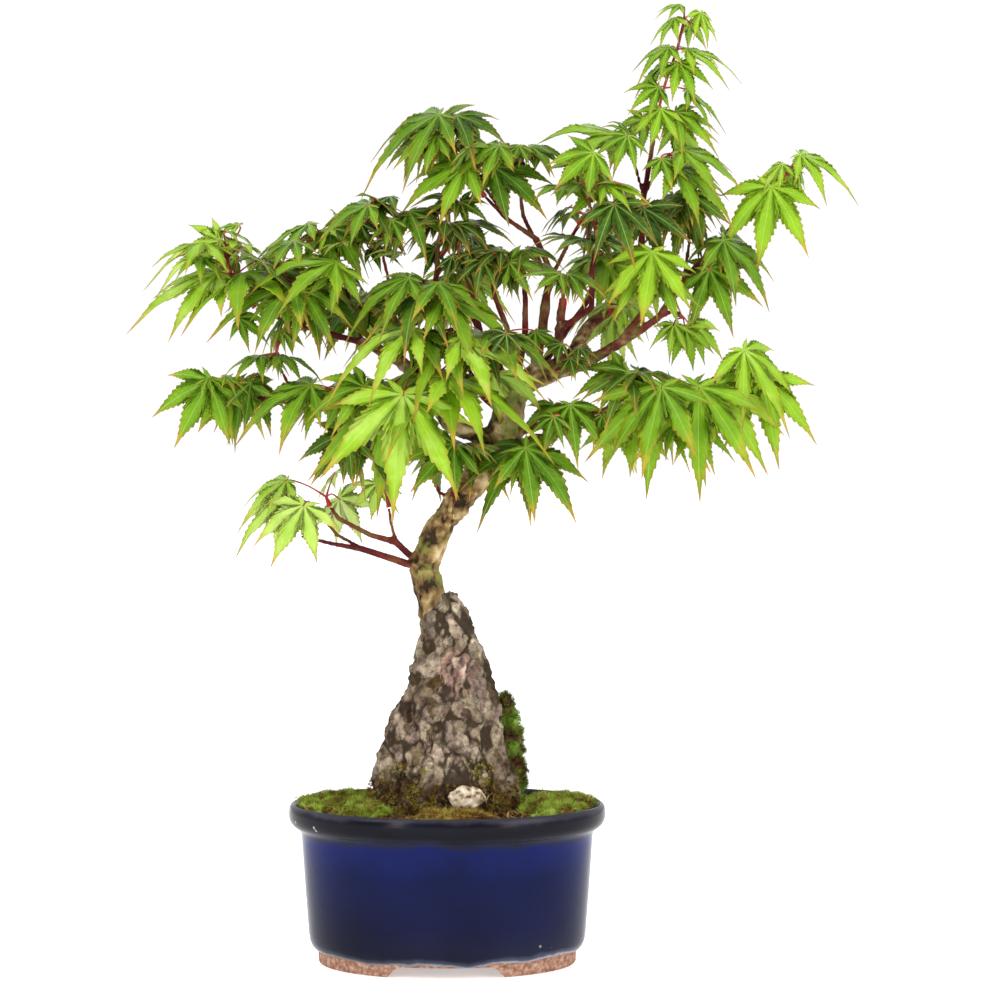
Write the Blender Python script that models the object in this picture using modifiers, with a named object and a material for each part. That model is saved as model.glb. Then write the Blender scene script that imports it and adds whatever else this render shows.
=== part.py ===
"""A Japanese maple bonsai grown over a standing stone, in an oval glazed pot.

The frame is in metres with +Z up, and the front of the tree faces -Y. The tables give places in
millimetres from the middle of the pot's foot, for a pot 80 mm high. The whole model hangs on one
empty, which sets the bottom centre of its box on the origin.
"""

import math
from collections import namedtuple

import bmesh
import bpy
from mathutils import Matrix, Quaternion, Vector, noise
from mathutils.bvhtree import BVHTree

for thing in list(bpy.data.objects):
    bpy.data.objects.remove(thing, do_unlink=True)

MM = 0.001

# Sizes of the pot, in metres
POT_WIDTH = 0.159
POT_DEPTH = 0.125
POT_HEIGHT = 0.080
RIM_HEIGHT = 0.013
RIM_OVERHANG = 0.0065
RIM_LIP = 0.0042
LIP_DROP = 0.002
THROAT_DROP = 0.004
POT_WALL = 0.006
POT_TAPER = 0.0035
POT_FLOOR = 0.007
FLOOR_CORNER = 0.0035
WALL_CURL_HIGH = 0.008
WALL_CURL_LOW = 0.003
WALL_CURL_IN = 0.0012
FOOT_HEIGHT = 0.006
FOOT_INSET = 0.005
FOOT_RING = 0.009
FOOT_NOTCH_TOP = 0.048
FOOT_NOTCH_BOTTOM = 0.058
FOOT_NOTCH_HEIGHT = 0.0054
DRAIN_HOLE = 0.012
DRAIN_SPACING = 0.056
MESH_SIDE = 0.019
MESH_THICK = 0.001
MESH_CELLS = 3
MESH_CELL = 0.0036
POT_STEPS = 36

# How the rim rounds: shares of the lip or of the overhang in from its widest, and of its height down
RIM_TOP = ((0.6, 0.0), (0.25, 0.06), (0.0, 0.3), (0.0, 0.6))
RIM_UNDERSIDE = ((0.3, 0.88), (0.85, 1.0), (1.0, 1.15))

# The net's border beside its cells, in cells, and how many times its thickness a cutter goes through
MESH_BORDER = 0.4
CUT_THROUGH = 3
DRAIN_SIDES = 20

# The soil: its height at the middle over its edge, its edge below the rim, and its domed top as shares
# of the pot's inner radius and of that height
SOIL_CROWN = 0.003
SOIL_BELOW_RIM = 0.0045
SOIL_DOME = ((0.0, 1.0), (0.5, 0.8), (0.85, 0.3))

# Sizes of the plant and the stones, as shares of those in the tables
PLANT_SCALE = 1.0
WOOD_GIRTH = 1.0
ROCK_GIRTH = 1.0
LEAF_SCALE = 1.0

# Sizes of the leaves' parts, in metres
LEAF_THICKNESS = 0.0012
PETIOLE_RADIUS = 0.0005
SHOOT_RADIUS = 0.0008

# How round and how smooth a limb is, by its least radius: its curve's bevel resolution and its steps
GRADES = ((0.0029, 2, 2), (0.0016, 1, 1), (0.0, 0, 1))
TRUNK_GRADE = (3, 2)

# How far a limb starts inside its parent, as a share of its radius
LIMB_OVERLAP = 0.6

# The pot that the tables' places are measured for, in millimetres
TABLE_RIM = 80
TABLE_WIDTH = 156
TABLE_DEPTH = 125

# The gap between pieces that touch
GAP = 0.0003

# The rock: height of each section, then its left, right, front and back
ROCK_SECTIONS = [
    (64, -30, 28, -24, 6),
    (70, -36, 34, -29, 11),
    (82, -37, 35, -31, 12),
    (93, -36, 33, -30, 11),
    (104, -33, 29.5, -27, 10),
    (115, -29, 27.5, -25, 9),
    (125, -27, 26, -24, 8),
    (138, -19, 23.5, -21, 6),
    (150, -16, 20.5, -19, 4),
    (161, -12, 15.5, -17, 2),
    (172, -12, 12.5, -15, 0),
    (180, -6, 8.5, -12, -2),
    (186, -2, 5, -9, -4),
]
ROCK_SIDES = 16
ROCK_END = 1.5
ROCK_SQUARENESS = 0.06
ROCK_LUMP = 0.00256
ROCK_LUMP_SIZE = 0.011

# Moss cushions, the mound of moss against the rock, and the pale chip of stone: middle, then radii
CUSHIONS = {
    "moss_left": ((-50, -4, 75), (31, 47, 9.5)),
    "moss_right": ((56, -6, 75), (26, 46, 9)),
    "moss_front": ((5, -47, 75), (22, 22, 8)),
    "moss_back": ((2, 48, 75), (20, 16, 8.5)),
}
MOUND = ((28, 12, 88), (12, 14, 49))
MOSS_SIDES = 16
MOSS_ROWS = 7
STONE_CHIP = ((10, -36, 87), (9.5, 5.5, 6))
CHIP_SIDES = 12
CHIP_ROWS = 7

# The wood: each limb's parent and the parent's point that it grows from, then its own points as
# x, y, z and radius. The roots run down behind the rock into the soil.
WOOD = {
    "trunk": (None, 0, [
        (-2, 12.5, 138, 8.5), (-4, 9, 160, 8), (-8, 8, 182, 8.2), (-11.5, 6, 198, 7.4),
        (-6, 3, 213, 7.2), (-1, 1, 222, 6.6), (6, 0, 232, 7.4), (13, 0, 240, 6.8),
        (18.5, 0, 249, 7.6), (24, 1, 256, 7.4), (28, 2, 264, 10), (30, 2, 274, 8.4),
        (35, 2, 287, 6.8), (45, 2, 294, 5.8), (57, 2, 298, 5.2),
    ]),
    "root_left": ("trunk", 0, [(-12, 10.5, 124, 6), (-21, 9.5, 104, 4.8), (-27, 8, 84, 3.6), (-30, 4, 70, 2)]),
    "root_middle": ("trunk", 0, [(0, 12.5, 118, 6.2), (2, 13.5, 98, 5), (0, 14.5, 80, 3.6), (-2, 12.5, 68, 2)]),
    "root_right": ("trunk", 0, [(9, 11, 120, 5.2), (13, 11, 100, 4), (13, 12.5, 82, 3.2), (12, 11, 70, 2)]),
    "limb_left": ("trunk", 10, [(2, -4, 270, 5), (-10, -9, 288, 4.4), (-23, -14, 302, 3.4), (-42, -16, 311, 2.4)]),
    "fork_left": ("limb_left", 4, [(-58, -14, 315, 1.9), (-72, -16, 324, 1.6), (-74, -17, 334, 1.1)]),
    "fork_left_low": ("fork_left", 2, [(-79, -15, 329, 1.2), (-84, -8, 333, 1)]),
    "fork_far": ("fork_left", 1, [(-78, -10, 320, 1.4), (-95, -6, 328, 1)]),
    "twig_top_left": ("limb_left", 4, [(-50, -6, 338, 1.3), (-57, -3, 354, 1)]),
    "twig_top_mid": ("limb_left", 3, [(-27, -8, 334, 1.5), (-33, -10, 360, 1)]),
    "twig_c1": ("limb_left", 2, [(-14, -24, 296, 1.6), (-15, -32, 300, 1.1)]),
    "twig_c5": ("limb_left", 2, [(-8, -20, 312, 1.5), (-8, -26, 324, 1.1)]),
    "limb_h": ("limb_left", 2, [(-9, -2, 318, 1.9), (-5, -4, 345, 1.6), (-4, -4, 360, 1.2)]),
    "twig_h": ("limb_h", 2, [(1, 0, 350, 1.2), (3, 2, 356, 1)]),
    "low_left": ("trunk", 9, [(-8, -8, 257, 3), (-24, -12, 254, 2.6), (-48, -16, 267, 1.8), (-58, -18, 276, 1.2)]),
    "low_left_up": ("low_left", 3, [(-50, -20, 276, 1.5), (-52, -26, 281, 1.1)]),
    "low_left_out": ("low_left", 3, [(-62, -12, 279, 1.7), (-78, -11, 281, 1.4), (-100, -8, 284, 1)]),
    "low_left_stub": ("low_left_out", 2, [(-79, -4, 290, 1.3), (-84, -2, 300, 1.1)]),
    "low_left_down": ("low_left", 2, [(-34, -20, 259, 1.5), (-42, -24, 262, 1.1)]),
    "limb_right": ("trunk", 14, [(64, 5, 307, 3.8), (72, 8, 320, 3.2), (83, 11, 327, 2.2)]),
    "limb_out": ("trunk", 13, [(63, -4, 298, 3.4), (87, -9, 311, 2.6), (105, -13, 323, 2)]),
    "twig_hang": ("limb_out", 3, [(112, -8, 326, 1.3), (115, -3, 325, 1)]),
    "limb_out_up": ("limb_out", 3, [(118, -6, 342, 1.8), (133, -2, 358, 1.4)]),
    "shoot_right": ("limb_out_up", 1, [(138, 5, 364, 1.4), (151, 3, 378, 1.1)]),
    "twig_b": ("limb_out_up", 1, [(121, 4, 360, 1.3), (119, 4, 374, 1)]),
    "leader": ("limb_out", 2, [(98, -6, 326, 2.2), (96.5, -3, 352, 2), (98, -1, 383, 1.7), (103, 0, 412, 1.3)]),
    "leader_front": ("leader", 1, [(99, -12, 342, 1.4), (101, -19, 348, 1)]),
    "leader_left": ("leader", 3, [(94, -5, 397, 1.2), (91, -7, 404, 1)]),
    "leader_right": ("leader", 3, [(103, -5, 394, 1.2), (107, -7, 400, 1)]),
    "centre": ("trunk", 14, [(56, -4, 318, 2.5), (58, -7, 333, 2.4)]),
    "centre_front": ("centre", 1, [(57, -16, 328, 1.5), (58, -24, 336, 1.1)]),
    "limb_d": ("centre", 1, [(72, -8, 328, 1.9), (72, -9, 347, 1.6), (75, -11, 361, 1.3), (80, -14, 369, 1.1)]),
    "limb_d_back": ("limb_d", 3, [(72, -17, 374, 1.2), (70, -22, 382, 1)]),
    "limb_c": ("trunk", 13, [(48, 2, 320, 2.8), (50, 3, 336, 2.4), (53, 4, 345, 2.1)]),
    "limb_c1": ("limb_c", 3, [(45, 1, 362, 1.7), (30, -3, 372, 1.4), (19, -5, 383, 1)]),
    "limb_c1_up": ("limb_c1", 2, [(21, 3, 385, 1.3), (12, 5, 398, 1.1), (3, 5, 410, 1)]),
    "limb_c2": ("limb_c", 3, [(38, 8, 374, 1.5), (36, 6, 391, 1.2), (37, 6, 399, 1)]),
    "limb_c3": ("limb_c", 3, [(62, 4, 363, 1.5), (67, 5, 371, 1.1)]),
    "limb_e": ("trunk", 12, [(39, -9, 316, 1.9), (39, -11, 332, 1.6), (38, -12, 348, 1.1)]),
    "limb_f": ("trunk", 12, [(30, -12, 318, 1.8), (24, -15, 333, 1.5), (22, -17, 344, 1.1)]),
    "limb_g": ("trunk", 11, [(18, -4, 310, 2), (12, -10, 337, 1.5), (8, -13, 345, 1.1)]),
    "twig_c3": ("trunk", 11, [(18, -16, 284, 1.8), (11, -28, 298, 1.2)]),
    "twig_m7": ("trunk", 12, [(27, -18, 298, 1.6), (25, -27, 307, 1.1)]),
    "right_low": ("trunk", 10, [(56, -8, 273, 2.4), (79, -14, 277, 1.8), (97, -18, 277, 1.4), (104, -20, 278, 1.2)]),
    "right_low_arch": ("right_low", 3, [(120, -15, 285, 1.3), (133, -13, 294, 1)]),
    "right_low_tip": ("right_low", 4, [(109, -25, 281, 1)]),
    "right_low_up": ("right_low", 2, [(84, -16, 284, 1.3), (88, -18, 289, 1)]),
    "right_low_mid": ("trunk", 9, [(44, -8, 264, 1.8), (58, -14, 265, 1.2)]),
    "right_low_front": ("right_low_mid", 1, [(43, -16, 259, 1.3), (42, -22, 259, 1)]),
    "right_low_back": ("right_low", 2, [(84, -2, 276, 1.3), (87, 6, 275, 1)]),
    "twig_m8": ("trunk", 13, [(58, -9, 300, 1.6), (62, -14, 302, 1.1)]),
    "twig_low": ("trunk", 3, [(-26, 2, 211, 2), (-38, -2, 214.5, 1.6), (-54, -6, 223, 1.4), (-58, -8, 229, 1.1)]),
    "twig_low_up": ("twig_low", 1, [(-28.5, 2, 222, 1.2), (-29, 2, 228, 1)]),
    "twig_base": ("trunk", 3, [(-28, -4, 203, 2.1), (-42, -9, 208, 1.8), (-57, -14, 211, 1.3), (-72, -18, 215, 1)]),
    "twig_base_up": ("twig_base", 2, [(-55, -5, 215, 1.3), (-64, -3, 226, 1)]),
    "stub_base": ("trunk", 3, [(-26, 10, 202, 1.6), (-36, 13, 205, 1.1)]),
    "stub_left": ("trunk", 6, [(-4, -5, 236, 1.3), (-5, -6, 241, 1)]),
    "twig_front": ("trunk", 4, [(1, -7, 222, 1.6), (3, -9, 236, 1.4), (5, -11, 245, 1.1)]),
    "back_a": ("trunk", 11, [(26, 14, 296, 2.4), (16, 28, 316, 1.8), (8, 38, 334, 1.2)]),
    "back_b": ("trunk", 13, [(58, 18, 314, 2), (70, 30, 330, 1.6), (78, 38, 344, 1.1)]),
    "back_c": ("limb_left", 3, [(-30, 6, 310, 1.8), (-40, 20, 322, 1.1)]),
}
ROOTS = ("trunk", "root_left", "root_middle", "root_right")

# The year's shoots: the limb that each grows from and its points, then its leaves. A leaf is the
# point of the shoot that its stalk leaves, where the stalk meets the blade, the tip of the middle
# lobe, and the way that its upper face looks.
FRONT = Vector((0, -1, 0.3))
UP = Vector((0, -0.45, 1))
SKY = Vector((0, 0.1, 1))
LEFT = Vector((-0.7, -0.6, 0.6))
RIGHT = Vector((0.7, -0.6, 0.6))
BACK = Vector((0, 1, 0.4))
SHOOTS = {
    "leader": ("leader", [(105, 0, 424), (108, 0, 437), (112, 0, 449), (114.5, 0, 456), (118, 0, 471)], [
        (5, (116, -1, 478), (104, -4, 474), UP),
        (5, (126, -2, 474), (131, -7, 457), RIGHT),
        (5, (113, -4, 471), (104, -11, 458), LEFT),
        (5, (121, 6, 470), (130, 14, 460), BACK),
        (4, (110, -3, 457), (94, -9, 444), UP),
        (4, (119, -2, 456), (146, 3, 447), UP),
        (3, (108, 3, 449), (91, 8, 433), UP),
        (3, (115, -5, 449), (126, -15, 430), FRONT),
        (2, (105, -3, 437), (90, -11, 427), UP),
        (2, (120, 3, 436), (139, 8, 419), UP),
        (1, (106, -9, 426), (101, -17, 406), FRONT),
        (1, (114, -3, 425), (133, -9, 408), UP),
        (1, (114, 9, 419), (131, 18, 403), BACK),
        (1, (99, 9, 422), (86, 18, 409), BACK),
    ]),
    "leader_left": ("leader_left", [(88, -9, 408)], [
        (1, (84, -8, 413), (42, -14, 415), UP),
        (1, (89, -14, 412), (81, -24, 396), FRONT),
        (1, (90, -3, 415), (82, 6, 423), SKY),
    ]),
    "leader_right": ("leader_right", [(111, -9, 404)], [
        (1, (117, -9, 406), (151, -15, 389), UP),
        (1, (114, -13, 397), (147, -20, 371), UP),
        (1, (116, 2, 401), (139, 10, 391), UP),
        (1, (106, -15, 401), (112, -25, 386), FRONT),
    ]),
    "right_top": ("shoot_right", [(160, 2, 387), (168, 1, 393), (173, 0, 400)], [
        (1, (161, -6, 388), (155, -15, 348), FRONT),
        (2, (167, -3, 399), (156, -7, 388), UP),
        (3, (176, -1, 404), (204, -5, 387), UP),
        (2, (175, 6, 397), (178, 10, 381), RIGHT),
        (1, (166, 8, 396), (172, 13, 371), FRONT),
    ]),
    "right_mid": ("limb_out_up", [(136, -5, 360)], [
        (1, (137, -10, 361), (165, -19, 332), UP),
        (1, (130, -15, 347), (143, -25, 317), FRONT),
        (1, (138, 2, 362), (156, 12, 352), UP),
    ]),
    "right_up": ("twig_b", [(119, 3, 379)], [
        (1, (121, -3, 384), (130, -10, 358), FRONT),
        (1, (123, 7, 382), (141, 13, 370), UP),
        (1, (117, -5, 377), (112, -13, 352), FRONT),
    ]),
    "leader_front": ("leader_front", [(101, -24, 350)], [
        (1, (101, -29, 355), (97, -41, 320), FRONT),
        (1, (105, -25, 344), (113, -30, 321), FRONT),
        (1, (96, -23, 344), (82, -28, 326), FRONT),
    ]),
    "hang": ("twig_hang", [(118, 1, 323)], [
        (1, (113, 0, 320), (110, -3, 305), FRONT),
        (1, (119, 2, 318), (125, 3, 297), FRONT),
        (1, (122, 6, 320), (142, 10, 304), UP),
    ]),
    "right_low": ("right_low_tip", [(113, -29, 284)], [
        (1, (124, -35, 289), (121, -45, 242), FRONT),
        (1, (133, -22, 290), (155, -20, 252), RIGHT),
        (1, (108, -18, 270), (128, -12, 252), UP),
    ]),
    "right_arch": ("right_low_arch", [(141, -13, 297), (146, -13, 297)], [
        (2, (147, -17, 307), (169, -24, 274), FRONT),
        (2, (157, -10, 293), (163, -16, 254), FRONT),
        (1, (143, -7, 306), (132, -4, 293), UP),
    ]),
    "right_near": ("right_low_up", [(91, -21, 293)], [
        (1, (90, -26, 296), (77, -35, 272), FRONT),
        (1, (97, -19, 296), (121, -18, 291), UP),
        (1, (87, -16, 297), (61, -17, 284), UP),
    ]),
    "right_inner": ("right_low_mid", [(61, -17, 271)], [
        (1, (61, -25, 280), (64, -35, 254), FRONT),
        (1, (56, -19, 280), (42, -27, 273), UP),
        (1, (77, -23, 275), (84, -31, 257), FRONT),
    ]),
    "right_back": ("right_low_back", [(90, 11, 275)], [
        (1, (86, 16, 271), (98, 28, 244), FRONT),
        (1, (95, 12, 276), (108, 20, 261), UP),
    ]),
    "front_left": ("twig_c1", [(-16, -42, 296), (-16, -44, 306)], [
        (1, (-20, -58, 286), (-28, -66, 234), FRONT),
        (2, (-16, -50, 318), (-56, -58, 299), UP),
    ]),
    "front_right": ("twig_c3", [(8, -40, 304), (8, -46, 308)], [
        (2, (8, -54, 313), (49, -64, 289), UP),
        (1, (2, -56, 295), (48, -70, 266), UP),
    ]),
    "front_mid": ("twig_c5", [(-8, -33, 332)], [
        (1, (-18, -38, 342), (-48, -46, 323), UP),
        (1, (-1, -40, 333), (37, -50, 311), UP),
        (1, (-14, -34, 338), (-19, -44, 313), FRONT),
    ]),
    "front_low_right": ("twig_m7", [(24, -34, 313)], [
        (1, (24, -43, 316), (56, -54, 297), UP),
        (1, (44, -34, 316), (56, -42, 303), FRONT),
    ]),
    "centre": ("centre_front", [(58, -31, 341)], [
        (1, (56, -37, 344), (34, -44, 343), UP),
        (1, (60, -35, 344), (79, -41, 336), UP),
        (1, (58, -39, 342), (60, -46, 331), FRONT),
    ]),
    "centre_left": ("limb_e", [(38, -14, 353)], [
        (1, (31, -22, 350), (52, -32, 344), UP),
        (1, (30, -19, 347), (33, -27, 334), FRONT),
        (1, (40, -13, 357), (57, -17, 351), UP),
    ]),
    "dark_mid": ("limb_f", [(22, -18, 350)], [
        (1, (27, -19, 356), (3, -24, 354), UP),
        (1, (18, -24, 351), (14, -32, 336), FRONT),
    ]),
    "dark_left": ("limb_g", [(6, -15, 350)], [
        (1, (3, -17, 353), (9, -23, 340), FRONT),
        (1, (6, -19, 369), (12, -27, 356), FRONT),
    ]),
    "stars": ("limb_h", [(-3, -5, 366)], [
        (1, (7, -8, 380), (20, -14, 372), FRONT),
        (1, (4, -6, 382), (-17, -10, 381), UP),
        (1, (10, -12, 370), (33, -20, 363), UP),
        (1, (-6, -10, 370), (-26, -16, 375), UP),
    ]),
    "stars_back": ("twig_h", [(3, 3, 361)], [
        (1, (-6, -2, 357), (-12, -8, 344), FRONT),
        (1, (-9, 6, 368), (-23, 10, 360), UP),
        (1, (12, 8, 364), (28, 14, 352), UP),
    ]),
    "top_mid": ("limb_c1", [(16, -8, 388)], [
        (1, (26, -12, 408), (1, -20, 391), UP),
        (1, (10, -16, 398), (-25, -24, 379), UP),
        (1, (26, -18, 405), (23, -27, 391), FRONT),
    ]),
    "top_left": ("limb_c1_up", [(0, 4, 415)], [
        (1, (-4, -1, 424), (-41, -9, 400), UP),
        (1, (-5, -10, 413), (-28, -18, 397), FRONT),
        (1, (13, 11, 419), (1, 18, 412), SKY),
        (1, (-2, -8, 410), (-1, -14, 391), FRONT),
    ]),
    "top_right": ("limb_c2", [(38, 5, 404)], [
        (1, (42, -1, 408), (63, -6, 401), UP),
        (1, (36, -6, 408), (32, -15, 397), FRONT),
        (1, (41, 12, 407), (52, 22, 398), UP),
    ]),
    "bright_mid": ("limb_d_back", [(70, -28, 388)], [
        (1, (72, -36, 403), (52, -46, 384), FRONT),
        (1, (78, -28, 388), (49, -33, 387), UP),
        (1, (78, -32, 388), (101, -38, 381), UP),
    ]),
    "dark_star": ("limb_d", [(82, -20, 373)], [
        (1, (82, -40, 378), (91, -50, 351), FRONT),
    ]),
    "mid_wide": ("limb_c3", [(69, 3, 374)], [
        (1, (69, -6, 362), (43, -12, 362), UP),
        (1, (60, 12, 378), (46, 20, 368), UP),
        (1, (74, 12, 376), (88, 22, 366), UP),
    ]),
    "left_big": ("fork_left", [(-74, -22, 338)], [
        (1, (-75, -33, 338), (-118, -44, 318), UP),
        (1, (-54, -28, 350), (-96, -38, 344), UP),
        (1, (-52, -30, 347), (-56, -40, 326), FRONT),
        (1, (-70, -29, 336), (-56, -38, 313), FRONT),
    ]),
    "left_inner": ("fork_left_low", [(-88, -4, 336)], [
        (1, (-104, 4, 323), (-90, 10, 312), FRONT),
        (1, (-103, -1, 340), (-109, 3, 326), FRONT),
    ]),
    "left_far": ("fork_far", [(-101, -7, 334), (-106, -7, 343), (-109, -7, 352)], [
        (2, (-113, -14, 345), (-156, -20, 324), UP),
        (3, (-112, -12, 361), (-133, -18, 355), FRONT),
        (3, (-104, -1, 369), (-119, 3, 366), UP),
        (3, (-118, 4, 360), (-150, 12, 347), UP),
        (2, (-106, 12, 354), (-126, 22, 345), FRONT),
    ]),
    "upper_left": ("twig_top_left", [(-60, -2, 359)], [
        (1, (-69, 0, 370), (-98, -6, 351), UP),
        (1, (-80, 10, 361), (-101, 15, 348), UP),
        (1, (-58, -8, 366), (-72, -14, 352), UP),
        (1, (-51, -14, 360), (-68, -20, 354), UP),
    ]),
    "upper_mid": ("twig_top_mid", [(-34, -11, 366)], [
        (1, (-28, -6, 383), (-55, -12, 372), UP),
        (1, (-38, -15, 378), (-64, -22, 362), UP),
        (1, (-25, -5, 362), (-41, -10, 357), UP),
        (1, (-23, -14, 355), (-41, -20, 355), UP),
        (1, (-27, -20, 371), (-30, -28, 357), FRONT),
    ]),
    "left_near": ("low_left_up", [(-52, -32, 286)], [
        (1, (-39, -46, 289), (-66, -56, 281), UP),
        (1, (-66, -34, 290), (-106, -42, 268), UP),
        (1, (-63, -30, 287), (-68, -41, 265), FRONT),
    ]),
    "left_low": ("low_left_out", [(-106, -8, 286)], [
        (1, (-117, -12, 292), (-134, -22, 258), FRONT),
        (1, (-111, -3, 291), (-105, -8, 262), FRONT),
        (1, (-95, 4, 295), (-106, 11, 287), UP),
    ]),
    "left_stub": ("low_left_stub", [(-85, -1, 305)], [
        (1, (-82, -10, 304), (-60, -16, 296), UP),
        (1, (-80, 3, 317), (-78, 7, 305), FRONT),
        (1, (-88, -2, 304), (-96, 3, 296), UP),
    ]),
    "low_front": ("low_left_down", [(-46, -28, 265)], [
        (1, (-48, -35, 266), (-66, -43, 240), FRONT),
        (1, (-49, -20, 260), (-51, -23, 242), FRONT),
    ]),
    "base_upper": ("twig_low", [(-60, -8, 234)], [
        (1, (-80, -6, 242), (-103, -12, 226), UP),
        (1, (-57, 10, 245), (-66, 20, 232), UP),
        (1, (-55, 16, 232), (-40, 30, 210), FRONT),
    ]),
    "base_mid": ("twig_base_up", [(-67, -3, 229)], [
        (1, (-79, -16, 234), (-106, -25, 211), UP),
        (1, (-70, -14, 231), (-86, -26, 201), FRONT),
        (1, (-64, 8, 224), (-52, 14, 216), UP),
    ]),
    "base_right": ("twig_low_up", [(-30, 2, 233)], [
        (1, (-35, 8, 240), (-38, 15, 220), FRONT),
        (1, (-31, -2, 240), (-22, -6, 236), UP),
    ]),
    "trunk_front": ("twig_front", [(5, -15, 250)], [
        (1, (4, -29, 261), (-18, -39, 235), FRONT),
        (1, (8, -24, 261), (29, -31, 254), UP),
    ]),
    "trunk_right": ("right_low_front", [(41, -27, 259)], [
        (1, (39, -33, 259), (70, -42, 225), RIGHT),
        (1, (37, -29, 257), (31, -36, 241), FRONT),
    ]),
    "inner_right": ("twig_m8", [(64, -18, 303)], [
        (1, (61, -21, 303), (73, -28, 294), UP),
        (1, (57, -9, 310), (46, -13, 303), UP),
    ]),
    "pale_right": ("limb_right", [(87, 13, 329)], [
        (1, (83, 17, 323), (92, 23, 301), FRONT),
        (1, (74, 22, 328), (61, 29, 318), UP),
        (1, (94, 20, 330), (112, 30, 318), UP),
    ]),
    "back_mid": ("back_a", [(6, 42, 340)], [
        (1, (2, 44, 346), (-24, 56, 332), UP),
        (1, (12, 48, 346), (30, 64, 330), BACK),
        (1, (4, 52, 338), (-4, 68, 314), BACK),
        (1, (10, 40, 352), (22, 34, 372), SKY),
    ]),
    "back_right": ("back_b", [(80, 42, 350)], [
        (1, (76, 46, 356), (52, 58, 346), UP),
        (1, (86, 48, 354), (112, 60, 340), UP),
        (1, (84, 52, 346), (84, 68, 320), BACK),
        (1, (82, 44, 360), (92, 40, 384), SKY),
    ]),
    "back_left": ("back_c", [(-43, 25, 327)], [
        (1, (-48, 28, 331), (-76, 36, 318), UP),
        (1, (-40, 32, 330), (-36, 50, 306), BACK),
        (1, (-42, 28, 336), (-56, 26, 356), SKY),
    ]),
}

# The blade: lobes as degrees from the middle one and as a share of its length
LOBES = ((-84, 0.66), (-42, 0.9), (0, 1.0), (42, 0.9), (84, 0.66))
SHOULDER_AT = 0.45
SHOULDER_HALF = 0.12
VALLEY_AT = 0.24
HEEL = 0.03
HEEL_BACK = 0.6
SAG = 0.22
CUPPING = 0.12
RIB_SHARE = 0.7
BIG_LEAF = 0.038
LONG_STALK = 0.016
STALK_NECK = 0.0022
NECK_LEAN = 0.7
STALK_ARCH = 0.05
SHOOT_COLLAR = 0.0015
SHIFTS = (0, -3, 3, -6, 6, -9, 9, -12, 12, -16, 16, -20, 20, -25, 25)
ROLLS = (0, 16, -16, 32, -32)
SHRINKS = (1.0, 0.88, 0.76, 0.62)

COLOURS = {
    "pot": ((0.018, 0.026, 0.16), 0.12),
    "drain_mesh": ((0.02, 0.02, 0.02), 0.5),
    "soil": ((0.06, 0.04, 0.025), 0.95),
    "rock": ((0.30, 0.22, 0.20), 0.85),
    "stone_chip": ((0.62, 0.55, 0.46), 0.8),
    "moss": ((0.16, 0.27, 0.03), 0.95),
    "wood": ((0.20, 0.13, 0.08), 0.85),
    "leaf": ((0.28, 0.52, 0.04), 0.5),
}

# The angle in degrees over which an edge stays sharp, and where it differs
SMOOTH_ANGLE = 50
SMOOTH_ANGLES = {"leaf": 30, "drain_mesh": 20, "rock": 40}

model = bpy.data.collections.new("maple_bonsai")
cutters = bpy.data.collections.new("cutters")
for group in (model, cutters):
    bpy.context.scene.collection.children.link(group)

frame = bpy.data.objects.new("maple_bonsai_frame", None)
model.objects.link(frame)


def material(name):
    found = bpy.data.materials.get(name)
    if found:
        return found
    colour, rough = COLOURS[name]
    made = bpy.data.materials.new(name)
    made.use_nodes = True
    shader = made.node_tree.nodes["Principled BSDF"]
    shader.inputs["Base Color"].default_value = (*colour, 1)
    shader.inputs["Roughness"].default_value = rough
    shader.inputs["Metallic"].default_value = 0
    return made


def new_object(name, mesh, finish=None):
    """An object of the mesh: a part with its material, or a cutter when it has no finish."""
    made = bpy.data.objects.new(name, mesh)
    if finish is None:
        cutters.objects.link(made)
        made.hide_render = True
        made.display_type = "WIRE"
        return made
    model.objects.link(made)
    made.parent = frame
    mesh.materials.clear()
    mesh.materials.append(material(finish))
    mesh.shade_smooth()
    mesh.set_sharp_from_angle(angle=math.radians(SMOOTH_ANGLES.get(finish, SMOOTH_ANGLE)))
    return made


def evaluated_mesh(obj):
    """The object's mesh with its modifiers applied, in world space, and the object removed."""
    bpy.context.view_layer.update()
    graph = bpy.context.evaluated_depsgraph_get()
    mesh = bpy.data.meshes.new_from_object(obj.evaluated_get(graph))
    mesh.transform(obj.matrix_world)
    bpy.data.objects.remove(obj, do_unlink=True)
    return mesh


def welded(mesh):
    """The mesh with its doubles merged and its faces turned out. Its quads are split one fixed way, so
    that a grown copy lies outside it everywhere."""
    bm = bmesh.new()
    bm.from_mesh(mesh)
    bmesh.ops.remove_doubles(bm, verts=bm.verts, dist=1e-6)
    bmesh.ops.triangulate(bm, faces=bm.faces, quad_method="FIXED")
    bmesh.ops.recalc_face_normals(bm, faces=bm.faces)
    bm.to_mesh(mesh)
    bm.free()
    return mesh


def combined(mesh, operation, operands, self_crossing=False):
    """The mesh joined to, cut by or kept within each operand mesh."""
    target = new_object("target", mesh)
    for operand in operands:
        tool = target.modifiers.new(operation.lower(), "BOOLEAN")
        tool.solver = "EXACT"
        tool.operation = operation
        tool.use_self = self_crossing
        tool.object = new_object("operand", operand)
    tools = [modifier.object for modifier in target.modifiers]
    made = evaluated_mesh(target)
    for tool in tools:
        bpy.data.objects.remove(tool, do_unlink=True)
    return made


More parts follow.
